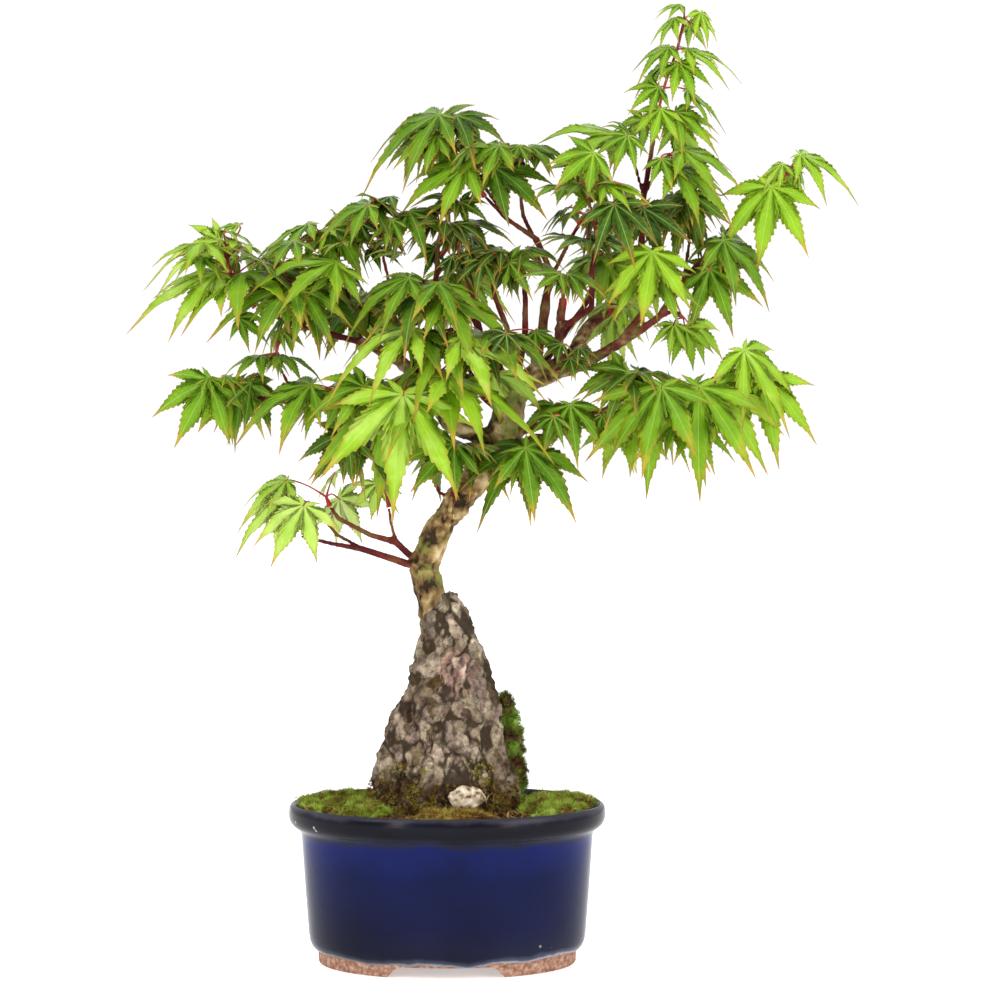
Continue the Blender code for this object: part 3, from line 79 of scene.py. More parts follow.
# Each year's shoot: how light its leaves are, from old and shaded at 0 to young and thin at 1, its own
# points, then its leaves. The low lightness is partly painted shade, for shoots deep in the crown. A leaf is
# the point of the shoot that its stalk leaves, where the stalk meets the blade, the tip of the middle lobe,
# and the way its face looks.
SHOOTS = {
    "leader": (0.62, [(105, 0, 424), (108, 0, 437), (112, 0, 449), (114.5, 0, 456), (118, 0, 471)], [
        (5, (116, -1, 478), (104, -4, 474), UP),
        (5, (126, -2, 474), (131, -7, 457), RIGHT),
        (5, (113, -4, 471), (104, -11, 458), LEFT),
        (5, (121, 6, 470), (130, 14, 460), BACK),
        (4, (110, -3, 457), (94, -9, 444), UP),
        (4, (119, -2, 456), (146, 3, 447), UP),
        (3, (108, 3, 449), (91, 8, 433), UP),
        (3, (115, -5, 449), (126, -15, 430), FRONT),
        (2, (105, -3, 437), (90, -11, 427), UP),
        (2, (120, 3, 436), (139, 8, 419), UP),
        (1, (106, -9, 426), (101, -17, 406), FRONT),
        (1, (114, -3, 425), (133, -9, 408), UP),
        (1, (114, 9, 419), (131, 18, 403), BACK),
        (1, (99, 9, 422), (86, 18, 409), BACK),
    ]),
    "leader_left": (0.55, [(88, -9, 408)], [
        (1, (84, -8, 413), (42, -14, 415), UP),
        (1, (89, -14, 412), (81, -24, 396), FRONT),
        (1, (90, -3, 415), (82, 6, 423), SKY),
    ]),
    "leader_right": (0.5, [(111, -9, 404)], [
        (1, (117, -9, 406), (151, -15, 389), UP),
        (1, (114, -13, 397), (147, -20, 371), UP),
        (1, (116, 2, 401), (139, 10, 391), UP),
        (1, (106, -15, 401), (112, -25, 386), FRONT),
    ]),
    "right_top": (0.72, [(160, 2, 387), (168, 1, 393), (173, 0, 400)], [
        (1, (161, -6, 388), (155, -15, 348), FRONT),
        (2, (167, -3, 399), (156, -7, 388), UP),
        (3, (176, -1, 404), (204, -5, 387), UP),
        (2, (175, 6, 397), (178, 10, 381), RIGHT),
        (1, (166, 8, 396), (172, 13, 371), FRONT),
    ]),
    "right_mid": (0.5, [(136, -5, 360)], [
        (1, (137, -10, 361), (165, -19, 332), UP),
        (1, (130, -15, 347), (143, -25, 317), FRONT),
        (1, (138, 2, 362), (156, 12, 352), UP),
    ]),
    "right_up": (0.3, [(119, 3, 379)], [
        (1, (121, -3, 384), (130, -10, 358), FRONT),
        (1, (123, 7, 382), (141, 13, 370), UP),
        (1, (117, -5, 377), (112, -13, 352), FRONT),
    ]),
    "leader_front": (0.62, [(101, -24, 350)], [
        (1, (101, -29, 355), (97, -41, 320), FRONT),
        (1, (105, -25, 344), (113, -30, 321), FRONT),
        (1, (96, -23, 344), (82, -28, 326), FRONT),
    ]),
    "hang": (0.8, [(118, 1, 323)], [
        (1, (113, 0, 320), (110, -3, 305), FRONT),
        (1, (119, 2, 318), (125, 3, 297), FRONT),
        (1, (122, 6, 320), (142, 10, 304), UP),
    ]),
    "right_low": (0.7, [(113, -29, 284)], [
        (1, (124, -35, 289), (121, -45, 242), FRONT),
        (1, (133, -22, 290), (155, -20, 252), RIGHT),
        (1, (108, -18, 270), (128, -12, 252), UP),
    ]),
    "right_arch": (0.68, [(141, -13, 297), (146, -13, 297)], [
        (2, (147, -17, 307), (169, -24, 274), FRONT),
        (2, (157, -10, 293), (163, -16, 254), FRONT),
        (1, (143, -7, 306), (132, -4, 293), UP),
    ]),
    "right_near": (0.35, [(91, -21, 293)], [
        (1, (90, -26, 296), (77, -35, 272), FRONT),
        (1, (97, -19, 296), (121, -18, 291), UP),
        (1, (87, -16, 297), (61, -17, 284), UP),
    ]),
    "right_inner": (0.4, [(61, -17, 271)], [
        (1, (61, -25, 280), (64, -35, 254), FRONT),
        (1, (56, -19, 280), (42, -27, 273), UP),
        (1, (77, -23, 275), (84, -31, 257), FRONT),
    ]),
    "right_back": (0.98, [(90, 11, 275)], [
        (1, (86, 16, 271), (98, 28, 244), FRONT),
        (1, (95, 12, 276), (108, 20, 261), UP),
    ]),
    "front_left": (0.72, [(-16, -42, 296), (-16, -44, 306)], [
        (1, (-20, -58, 286), (-28, -66, 234), FRONT),
        (2, (-16, -50, 318), (-56, -58, 299), UP),
    ]),
    "front_right": (0.7, [(8, -40, 304), (8, -46, 308)], [
        (2, (8, -54, 313), (49, -64, 289), UP),
        (1, (2, -56, 295), (48, -70, 266), UP),
    ]),
    "front_mid": (0.5, [(-8, -33, 332)], [
        (1, (-18, -38, 342), (-48, -46, 323), UP),
        (1, (-1, -40, 333), (37, -50, 311), UP),
        (1, (-14, -34, 338), (-19, -44, 313), FRONT),
    ]),
    "front_low_right": (0.35, [(24, -34, 313)], [
        (1, (24, -43, 316), (56, -54, 297), UP),
        (1, (44, -34, 316), (56, -42, 303), FRONT),
    ]),
    "centre": (0.4, [(58, -31, 341)], [
        (1, (56, -37, 344), (34, -44, 343), UP),
        (1, (60, -35, 344), (79, -41, 336), UP),
        (1, (58, -39, 342), (60, -46, 331), FRONT),
    ]),
    "centre_left": (0.3, [(38, -14, 353)], [
        (1, (31, -22, 350), (52, -32, 344), UP),
        (1, (30, -19, 347), (33, -27, 334), FRONT),
        (1, (40, -13, 357), (57, -17, 351), UP),
    ]),
    "dark_mid": (0.15, [(22, -18, 350)], [
        (1, (27, -19, 356), (3, -24, 354), UP),
        (1, (18, -24, 351), (14, -32, 336), FRONT),
    ]),
    "dark_left": (0.2, [(6, -15, 350)], [
        (1, (3, -17, 353), (9, -23, 340), FRONT),
        (1, (6, -19, 369), (12, -27, 356), FRONT),
    ]),
    "stars": (0.25, [(-3, -5, 366)], [
        (1, (7, -8, 380), (20, -14, 372), FRONT),
        (1, (4, -6, 382), (-17, -10, 381), UP),
        (1, (10, -12, 370), (33, -20, 363), UP),
        (1, (-6, -10, 370), (-26, -16, 375), UP),
    ]),
    "stars_back": (0.2, [(3, 3, 361)], [
        (1, (-6, -2, 357), (-12, -8, 344), FRONT),
        (1, (-9, 6, 368), (-23, 10, 360), UP),
        (1, (12, 8, 364), (28, 14, 352), UP),
    ]),
    "top_mid": (0.45, [(16, -8, 388)], [
        (1, (26, -12, 408), (1, -20, 391), UP),
        (1, (10, -16, 398), (-25, -24, 379), UP),
        (1, (26, -18, 405), (23, -27, 391), FRONT),
    ]),
    "top_left": (0.45, [(0, 4, 415)], [
        (1, (-4, -1, 424), (-41, -9, 400), UP),
        (1, (-5, -10, 413), (-28, -18, 397), FRONT),
        (1, (13, 11, 419), (1, 18, 412), SKY),
        (1, (-2, -8, 410), (-1, -14, 391), FRONT),
    ]),
    "top_right": (0.4, [(38, 5, 404)], [
        (1, (42, -1, 408), (63, -6, 401), UP),
        (1, (36, -6, 408), (32, -15, 397), FRONT),
        (1, (41, 12, 407), (52, 22, 398), UP),
    ]),
    "bright_mid": (0.6, [(70, -28, 388)], [
        (1, (72, -36, 403), (52, -46, 384), FRONT),
        (1, (78, -28, 388), (49, -33, 387), UP),
        (1, (78, -32, 388), (101, -38, 381), UP),
    ]),
    "dark_star": (0.18, [(82, -20, 373)], [
        (1, (82, -40, 378), (91, -50, 351), FRONT),
    ]),
    "mid_wide": (0.35, [(69, 3, 374)], [
        (1, (69, -6, 362), (43, -12, 362), UP),
        (1, (60, 12, 378), (46, 20, 368), UP),
        (1, (74, 12, 376), (88, 22, 366), UP),
    ]),
    "left_big": (0.5, [(-74, -22, 338)], [
        (1, (-75, -33, 338), (-118, -44, 318), UP),
        (1, (-54, -28, 350), (-96, -38, 344), UP),
        (1, (-52, -30, 347), (-56, -40, 326), FRONT),
        (1, (-70, -29, 336), (-56, -38, 313), FRONT),
    ]),
    "left_inner": (0.6, [(-88, -4, 336)], [
        (1, (-104, 4, 323), (-90, 10, 312), FRONT),
        (1, (-103, -1, 340), (-109, 3, 326), FRONT),
    ]),
    "left_far": (0.85, [(-101, -7, 334), (-106, -7, 343), (-109, -7, 352)], [
        (2, (-113, -14, 345), (-156, -20, 324), UP),
        (3, (-112, -12, 361), (-133, -18, 355), FRONT),
        (3, (-104, -1, 369), (-119, 3, 366), UP),
        (3, (-118, 4, 360), (-150, 12, 347), UP),
        (2, (-106, 12, 354), (-126, 22, 345), FRONT),
    ]),
    "upper_left": (0.6, [(-60, -2, 359)], [
        (1, (-69, 0, 370), (-98, -6, 351), UP),
        (1, (-80, 10, 361), (-101, 15, 348), UP),
        (1, (-58, -8, 366), (-72, -14, 352), UP),
        (1, (-51, -14, 360), (-68, -20, 354), UP),
    ]),
    "upper_mid": (0.35, [(-34, -11, 366)], [
        (1, (-28, -6, 383), (-55, -12, 372), UP),
        (1, (-38, -15, 378), (-64, -22, 362), UP),
        (1, (-25, -5, 362), (-41, -10, 357), UP),
        (1, (-23, -14, 355), (-41, -20, 355), UP),
        (1, (-27, -20, 371), (-30, -28, 357), FRONT),
    ]),
    "left_near": (0.55, [(-52, -32, 286)], [
        (1, (-39, -46, 289), (-66, -56, 281), UP),
        (1, (-66, -34, 290), (-106, -42, 268), UP),
        (1, (-63, -30, 287), (-68, -41, 265), FRONT),
    ]),
    "left_low": (0.6, [(-106, -8, 286)], [
        (1, (-117, -12, 292), (-134, -22, 258), FRONT),
        (1, (-111, -3, 291), (-105, -8, 262), FRONT),
        (1, (-95, 4, 295), (-106, 11, 287), UP),
    ]),
    "left_stub": (0.65, [(-85, -1, 305)], [
        (1, (-82, -10, 304), (-60, -16, 296), UP),
        (1, (-80, 3, 317), (-78, 7, 305), FRONT),
        (1, (-88, -2, 304), (-96, 3, 296), UP),
    ]),
    "low_front": (0.25, [(-46, -28, 265)], [
        (1, (-48, -35, 266), (-66, -43, 240), FRONT),
        (1, (-49, -20, 260), (-51, -23, 242), FRONT),
    ]),
    "base_upper": (0.95, [(-60, -8, 234)], [
        (1, (-80, -6, 242), (-103, -12, 226), UP),
        (1, (-57, 10, 245), (-66, 20, 232), UP),
        (1, (-55, 16, 232), (-40, 30, 210), FRONT),
    ]),
    "base_mid": (0.9, [(-67, -3, 229)], [
        (1, (-79, -16, 234), (-106, -25, 211), UP),
        (1, (-70, -14, 231), (-86, -26, 201), FRONT),
        (1, (-64, 8, 224), (-52, 14, 216), UP),
    ]),
    "base_right": (0.98, [(-30, 2, 233)], [
        (1, (-35, 8, 240), (-38, 15, 220), FRONT),
        (1, (-31, -2, 240), (-22, -6, 236), UP),
    ]),
    "trunk_front": (0.3, [(5, -15, 250)], [
        (1, (4, -29, 261), (-18, -39, 235), FRONT),
        (1, (8, -24, 261), (29, -31, 254), UP),
    ]),
    "trunk_right": (0.4, [(41, -27, 259)], [
        (1, (39, -33, 259), (70, -42, 225), RIGHT),
        (1, (37, -29, 257), (31, -36, 241), FRONT),
    ]),
    "inner_right": (0.3, [(64, -18, 303)], [
        (1, (61, -21, 303), (73, -28, 294), UP),
        (1, (57, -9, 310), (46, -13, 303), UP),
    ]),
    "pale_right": (0.95, [(87, 13, 329)], [
        (1, (83, 17, 323), (92, 23, 301), FRONT),
        (1, (74, 22, 328), (61, 29, 318), UP),
        (1, (94, 20, 330), (112, 30, 318), UP),
    ]),
    "back_mid": (0.55, [(6, 42, 340)], [
        (1, (2, 44, 346), (-24, 56, 332), UP),
        (1, (12, 48, 346), (30, 64, 330), BACK),
        (1, (4, 52, 338), (-4, 68, 314), BACK),
        (1, (10, 40, 352), (22, 34, 372), SKY),
    ]),
    "back_right": (0.55, [(80, 42, 350)], [
        (1, (76, 46, 356), (52, 58, 346), UP),
        (1, (86, 48, 354), (112, 60, 340), UP),
        (1, (84, 52, 346), (84, 68, 320), BACK),
        (1, (82, 44, 360), (92, 40, 384), SKY),
    ]),
    "back_left": (0.55, [(-43, 25, 327)], [
        (1, (-48, 28, 331), (-76, 36, 318), UP),
        (1, (-40, 32, 330), (-36, 50, 306), BACK),
        (1, (-42, 28, 336), (-56, 26, 356), SKY),
    ]),
}

# The blade: lobes as degrees from the middle one and as a share of its length. The two small lobes
# beside the stalk come after those that the frame has.
LOBES = ((-84, 0.66), (-42, 0.9), (0, 1.0), (42, 0.9), (84, 0.66))
HEEL_LOBE = (124, 0.24)
SMALL_LOBE = 0.3
VALLEY_AT = 0.25
# How far a blade sags along its length, and how far its outer lobes fold back
SAG = 0.22
CUPPING = 0.12
# A lobe's teeth: the first one and the length that they take, as shares of the lobe's length, how far a
# tooth stands past the edge, and how far the notch after it cuts back
TEETH_FROM = 0.34
TEETH_RUN = 0.56
TOOTH_OUT = 1.12
NOTCH_IN = 0.84
NOTCH_AFTER = 0.016
# Relief of a blade as shares of its size: folds beside the veins, ripples, and the bend of its tails
PLEAT = 0.34
RIPPLE = 0.14
CURL = 0.07
SWAY = 0.07
STRETCH = 0.1
# Half the thickness of a blade at its stalk, and how much thinner it is at its edge
SKIN = 0.00022
SKIN_TAPER = 0.00012
VEIN_GAP = 3.5
# What the frame tries in turn for each leaf: steps forward or back in millimetres, turns about its
# length in degrees, and sizes
SHIFTS = (0, -3, 3, -6, 6, -9, 9, -12, 12, -16, 16, -20, 20, -25, 25)
ROLLS = (0, 16, -16, 32, -32)
SHRINKS = (1.0, 0.88, 0.76, 0.62)
# Stalks: the length of the neck behind a blade, and the radii at the shoot, the middle, the neck and
# the end under the blade; then a shoot's radii where it leaves the wood, at its bud and beyond
STALK_NECK = 0.0022
STALK_RADII = (0.00062, 0.00042, 0.00045, 0.0005)
SHOOT_RADII = (0.0016, 0.0012, 0.0008)
# How far an added leaf's tips may stand, seen from the front, from the frame's own leaves
CROWN_GAP = 0.013
# Shoots that stand open, with no added leaves
OPEN_SHOOTS = (
    "leader", "leader_left", "leader_right", "right_arch", "right_top", "base_mid", "base_upper",
    "base_right", "hang")

# Wood thinner than the first girth is all twig, and wood thicker than the second is all old bark
TWIG_TO_OLD = (3.2, 7.5)
# Share of the bark's faces kept, for under 200,000 of them
BARK_KEPT = 0.64
# Cut ends with bright red scars: middle and reach
STUBS = (((58, -7, 333), 6), ((53, 4, 345), 4), ((83, 11, 327), 4), ((-5, -6, 241), 3), ((36, 13, 205), 3))
# Half of how far the runs in the glaze reach up and down
GLAZE_RUN = 0.0045
# Height of the soil at the rock's foot, above the pot's foot
ROCK_BASE = 0.082
# Over what height from there the rock grows darker towards its foot
FOOT_DARKENING_RISE = 0.016

# The rock's colour patches: middle, reach and colour
ROCK_PATCHES = (
    ((3, -20, 148), 11, "#A97F78"),
    ((1, -14, 171), 9, "#C9B79B"),
    ((-4, -26, 103), 9, "#CDBB9E"),
    ((-26, -14, 88), 9, "#9C8A70"),
    ((20, -22, 118), 10, "#8F7B66"),
    ((12, -26, 92), 9, "#B9A68B"),
)


def linear(text, alpha=1.0):
    """A linear colour from an sRGB hex value."""
    parts = [int(text[index:index + 2], 16) / 255 for index in (1, 3, 5)]
    return (*[part / 12.92 if part <= 0.04045 else ((part + 0.055) / 1.055) ** 2.4 for part in parts], alpha)


def add(tree, kind, inputs=None, **settings):
    """Adds a node with its settings and its inputs, which are values or other nodes' sockets."""
    node = tree.nodes.new(kind)
    for name, value in settings.items():
        if name == "stops":
            ramp = node.color_ramp.elements
            while len(ramp) < len(value):
                ramp.new(0.5)
            for element, (place, colour) in zip(ramp, value):
                element.position = place
                element.color = linear(colour) if isinstance(colour, str) else (colour,) * 3 + (1,)
        else:
            setattr(node, name, value)
    for name, value in (inputs or {}).items():
        socket = node.inputs[name]
        if isinstance(value, bpy.types.NodeSocket):
            tree.links.new(value, socket)
        else:
            socket.default_value = value
    return node


def new_material(name, **sockets):
    """A material with a Principled shader, whose constant sockets are set here."""
    material = bpy.data.materials.new(name)
    material.use_nodes = True
    shader = material.node_tree.nodes["Principled BSDF"]
    for socket, value in sockets.items():
        shader.inputs[socket.replace("_", " ")].default_value = value
    return material, material.node_tree, shader


def place(x, y, z):
    """A point of the tables in the frame's metres."""
    return FOOT + Vector((x, y, z)) * MM


def evaluated_mesh(obj):
    """The object's mesh with its modifiers applied, and the object removed."""
    bpy.context.view_layer.update()
    graph = bpy.context.evaluated_depsgraph_get()
    mesh = bpy.data.meshes.new_from_object(obj.evaluated_get(graph))
    mesh.transform(obj.matrix_world)
    bpy.data.objects.remove(obj, do_unlink=True)
    return mesh


def mesh_of(bm, name):
    """The mesh that was built, which is then let go."""
    mesh = bpy.data.meshes.new(name)
    bm.to_mesh(mesh)
    bm.free()
    return mesh


def link(name, data, *materials):
    """A new object in the scene for a mesh or other data, with its materials."""
    obj = bpy.data.objects.new(name, data)
    bpy.context.scene.collection.objects.link(obj)
    for material in materials:
        data.materials.append(material)
    return obj


def dress(node, material):
    """Gives a frame node that is shown as it is its material."""
    NODES[node].data.materials.clear()
    NODES[node].data.materials.append(material)


def finish_piece(obj, slot, *nodes):
    """Puts a finished piece on the frame, in place of the nodes that it shows."""
    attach(obj, "root")
    if nodes:
        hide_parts(*nodes)
    return obj


def merged_copy(node):
    """A copy of a frame node's mesh with its loose triangles joined."""
    mesh = NODES[node].data.copy()
    mesh.materials.clear()
    bm = bmesh.new()
    bm.from_mesh(mesh)
    bmesh.ops.remove_doubles(bm, verts=bm.verts, dist=1e-6)
    bm.to_mesh(mesh)
    bm.free()
    return mesh


def remeshed(mesh, cell, smoothing=0, kept=1.0):
    """The mesh rebuilt from even cells of this size, and thinned to a share of its faces."""
    obj = link("remesh", mesh)
    grid = obj.modifiers.new("cells", "REMESH")
    grid.mode = "VOXEL"
    grid.voxel_size = cell
    if smoothing:
        smooth = obj.modifiers.new("smooth", "SMOOTH")
        smooth.factor = 0.5
        smooth.iterations = smoothing
    if kept < 1:
        obj.modifiers.new("thin", "DECIMATE").ratio = kept
    return evaluated_mesh(obj)


def each_corner(mesh, what="co"):
    """The mesh's corners, or their normals, as rows of an array."""
    rows = np.empty(len(mesh.vertices) * 3, np.float32)
    mesh.vertices.foreach_get(what, rows)
    return rows.reshape(-1, 3)


def move_corners(mesh, points):
    mesh.vertices.foreach_set("co", points.astype(np.float32).ravel())


def search(mesh):
    """The mesh's faces, ready to be searched for the nearest one or for what a ray meets."""
    return BVHTree.FromPolygons(
        [vertex.co for vertex in mesh.vertices], [tuple(side.vertices) for side in mesh.polygons])


def point_tree(points):
    """The points, ready to be searched for the nearest one."""
    tree = kdtree.KDTree(len(points))
    for index, point in enumerate(points):
        tree.insert(point, index)
    tree.balance()
    return tree


def store(mesh, name, values):
    """Stores a number for each vertex, for a material to read."""
    layer = mesh.attributes.new(name, "FLOAT", "POINT")
    layer.data.foreach_set("value", np.asarray(values, np.float32))


def tube(name, paths, resolution=1):
    """Round rods along paths of points and radii, as one mesh with welded caps."""
    data = bpy.data.curves.new(name, "CURVE")
    data.dimensions = "3D"
    data.bevel_depth = 1.0
    data.bevel_resolution = resolution
    data.use_fill_caps = True
    for path in paths:
        spline = data.splines.new("POLY")
        spline.points.add(len(path) - 1)
        for point, (where, radius) in zip(spline.points, path):
            point.co = (*where, 1)
            point.radius = radius
    mesh = evaluated_mesh(link(name, data))
    bm = bmesh.new()
    bm.from_mesh(mesh)
    bmesh.ops.remove_doubles(bm, verts=bm.verts, dist=1e-6)
    bmesh.ops.recalc_face_normals(bm, faces=bm.faces)
    bm.to_mesh(mesh)
    bm.free()
    mesh.shade_smooth()
    return mesh


def smooth_path(points, steps):
    """Points with radii on a smooth curve through the given ones."""
    made = []
    for index in range(len(points) - 1):
        around = [points[max(index - 1, 0)], points[index], points[index + 1]]
        around.append(points[min(index + 2, len(points) - 1)])
        for step in range(steps):
            t = step / steps
            weights = (
                -0.5 * t + t * t - 0.5 * t ** 3,
                1 - 2.5 * t * t + 1.5 * t ** 3,
                0.5 * t + 2 * t * t - 1.5 * t ** 3,
                -0.5 * t * t + 0.5 * t ** 3,
            )
            where = sum((weight * point for weight, (point, _) in zip(weights, around)), Vector())
            made.append((where, sum(weight * size for weight, (_, size) in zip(weights, around))))
    made.append(points[-1])
    return made


# ---- Materials ----
class Look:
    """A material in the making, with short ways to add its usual nodes. Patterns take their size in
    millimetres, and each way gives back the socket that holds its result."""

    def __init__(self, name, **sockets):
        self.material, self.tree, self.shader = new_material(name, **sockets)

    @functools.cached_property
    def coords(self):
        """Object coordinates, which are those of the whole frame."""
        return add(self.tree, "ShaderNodeTexCoord").outputs["Object"]

    def trait(self, name, output="Fac"):
        """What the mesh stores for each corner under this name."""
        return add(self.tree, "ShaderNodeAttribute", attribute_name=name).outputs[output]

    def noise(self, size, detail, roughness=0.5):
        """Clouds about this many millimetres across."""
        return add(self.tree, "ShaderNodeTexNoise", {
            "Vector": self.coords, "Scale": 1 / (size * MM), "Detail": detail,
            "Roughness": roughness}).outputs["Fac"]

    def cells(self, size, output):
        """Cells about this many millimetres across."""
        return add(self.tree, "ShaderNodeTexVoronoi", {
            "Vector": self.coords, "Scale": 1 / (size * MM)}).outputs[output]

    def math(self, operation, *values):
        return add(self.tree, "ShaderNodeMath", dict(enumerate(values)), operation=operation).outputs[0]

    def span(self, value, low, high, start=0.0, end=1.0):
        """The value carried from one range into another, and held there."""
        return add(self.tree, "ShaderNodeMapRange", {
            "Value": value, "From Min": low, "From Max": high, "To Min": start, "To Max": end}).outputs[0]

    def ramp(self, value, *stops):
        return add(self.tree, "ShaderNodeValToRGB", {"Fac": value}, stops=stops).outputs["Color"]

    def mix(self, factor, one, other, blend="MIX"):
        """The one colour with a share of the other over it."""
        return add(self.tree, "ShaderNodeMix", {"Factor": factor, "A": one, "B": other}, data_type="RGBA",
                   blend_type=blend).outputs["Result"]

    def bump(self, height, strength, depth, invert=False):
        """Relief this many millimetres deep."""
        node = add(self.tree, "ShaderNodeBump", {
            "Strength": strength, "Distance": depth * MM, "Height": height}, invert=invert)
        self.feed("Normal", node.outputs["Normal"])

    def feed(self, name, socket):
        self.tree.links.new(socket, self.shader.inputs[name])

    def done(self, colour):
        """The material, with this colour on it."""
        self.feed("Base Color", colour)
        return self.material


def maple_blade():
    """Maple leaf, thin and soft with a waxy skin: green with paler veins, dry and brown on its teeth and
    tails."""
    look = Look("living_maple_blade", Roughness=0.5, Specular_IOR_Level=0.2, Subsurface_Weight=0.1,
                Subsurface_Scale=0.002, Subsurface_Radius=(0.6, 1.0, 0.2))
    tone, reach, beside, under, edge, tail = map(
        look.trait, ("tone", "reach", "beside", "under", "edge", "tail"))
    blotch = look.noise(11.11, 3.0)
    # The tone sets a leaf's green from dark to pale, and its dark end is partly painted shade
    varied = look.math("MULTIPLY_ADD", blotch, 0.3, look.math("MULTIPLY", tone, 0.75))
    green = look.ramp(varied, (0.25, "#2E4A02"), (0.42, "#4A7004"), (0.58, "#6A930C"), (0.74, "#86AE1A"),
                      (0.9, "#B4D064"), (1.0, "#D0DF9C"))
    # Side veins leave the midrib every 3.5 mm and slant towards the tip
    wave = look.math("PINGPONG", look.math("MULTIPLY_ADD", beside, -1.1, reach), VEIN_GAP / 2)
    side = look.span(wave, 0.0, 0.3, 0.1, 0.0)
    rib = look.span(beside, 0.06, 0.36, 0.32, 0.0)
    veins = look.math("MAXIMUM", side, rib)
    veined = look.mix(veins, green, linear("#B9CF6A"))
    backed = look.mix(look.math("MULTIPLY", under, 0.3), veined, linear("#A9BF62"))
    # The tails and the teeth dry out first
    tips = look.span(look.math("MULTIPLY_ADD", blotch, 0.5, tail), 0.98, 1.24, 0.0, 0.9)
    rims = look.span(edge, 0.86, 1.0, 0.0, 0.42)
    dried = look.ramp(blotch, (0.36, "#7A3A14"), (0.5, "#A8641E"), (0.64, "#B58A2E"))
    look.bump(veins, 0.3, 0.3, invert=True)
    return look.done(look.mix(look.math("MAXIMUM", tips, rims), backed, dried))


def young_stalk():
    """Young maple stalk, smooth and waxy: crimson, greener where it is youngest."""
    look = Look("crimson_stalk", Roughness=0.38, Specular_IOR_Level=0.45)
    return look.done(look.ramp(look.noise(16.667, 2.0), (0.34, "#5A0810"), (0.48, "#98121A"),
                               (0.58, "#B8302A"), (0.68, "#A06A3C")))


def maple_bark():
    """Old maple bark, grown in rings and knots: tan ridges and brown cracks, with painted highlight on the
    ridges and painted shade in the cracks, and green algae. The twigs are smooth and red-brown, and a cut end
    is crimson."""
    look = Look("ringed_maple_bark", Roughness=0.82, Specular_IOR_Level=0.25)
    girth, ridge, stub = map(look.trait, ("girth", "ridge", "stub"))
    fine = look.noise(3.3333, 6.0, 0.7)
    broad = look.noise(13.333, 3.0)
    # Lighter on the ridges and darker in the cracks: the bark's own tan and brown, with painted highlight and
    # shade
    old = look.ramp(look.math("MULTIPLY_ADD", fine, 0.55, ridge), (0.42, "#2E1F0E"), (0.58, "#6B5330"),
                    (0.76, "#94794B"), (1.0, "#C9B68C"))
    greened = look.mix(look.span(broad, 0.55, 0.63, 0.0, 0.7), old, linear("#77833A"))
    twig = look.ramp(broad, (0.38, "#4A0D10"), (0.5, "#66201A"), (0.62, "#6E4A2A"))
    aged = look.mix(look.span(girth, *TWIG_TO_OLD), twig, greened)
    look.bump(fine, 0.6, 0.6)
    return look.done(look.mix(stub, aged, linear("#B3131D")))


def pudding_stone():
    """Weathered conglomerate, pebbles bedded in mud: pink, cream and grey lumps with dark joints, painted
    shade in the hollows between its crags, and darker towards its foot.
    """
    look = Look("weathered_conglomerate", Roughness=0.85, Specular_IOR_Level=0.3)
    fine = look.noise(3.8462, 7.0, 0.75)
    stone = look.ramp(look.trait("pebble"), (0.05, "#3C2C17"), (0.22, "#7C6650"), (0.36, "#B9A88C"),
                      (0.5, "#8A7068"), (0.64, "#5D5140"), (0.78, "#A79274"), (0.95, "#D2C4AC"))
    tinted = look.mix(0.45, stone, look.trait("patch", "Color"))
    speck = look.ramp(fine, (0.38, 0.1), (0.48, 0.62), (0.56, 1.0), (0.66, 1.3))
    specked = look.mix(0.85, tinted, speck, "MULTIPLY")
    # The dark mix holds the dark joints, painted shade in the crags' hollows and the darkening at the foot
    joints_and_shade = look.math("MULTIPLY_ADD", look.noise(9.0909, 4.0), 0.5, look.trait("joint"))
    look.bump(fine, 0.8, 0.8)
    return look.done(look.mix(look.span(joints_and_shade, 0.42, 0.8, 0.0, 0.95), specked, linear("#2B1D0C")))


def pale_chip():
    """Broken quartz, chipped: pale grey-cream with a fine grain."""
    look = Look("pale_quartz", Roughness=0.7)
    return look.done(look.ramp(look.noise(2.8571, 5.0), (0.36, "#5E4A30"), (0.48, "#B5A284"),
                               (0.66, "#DDD2C2")))


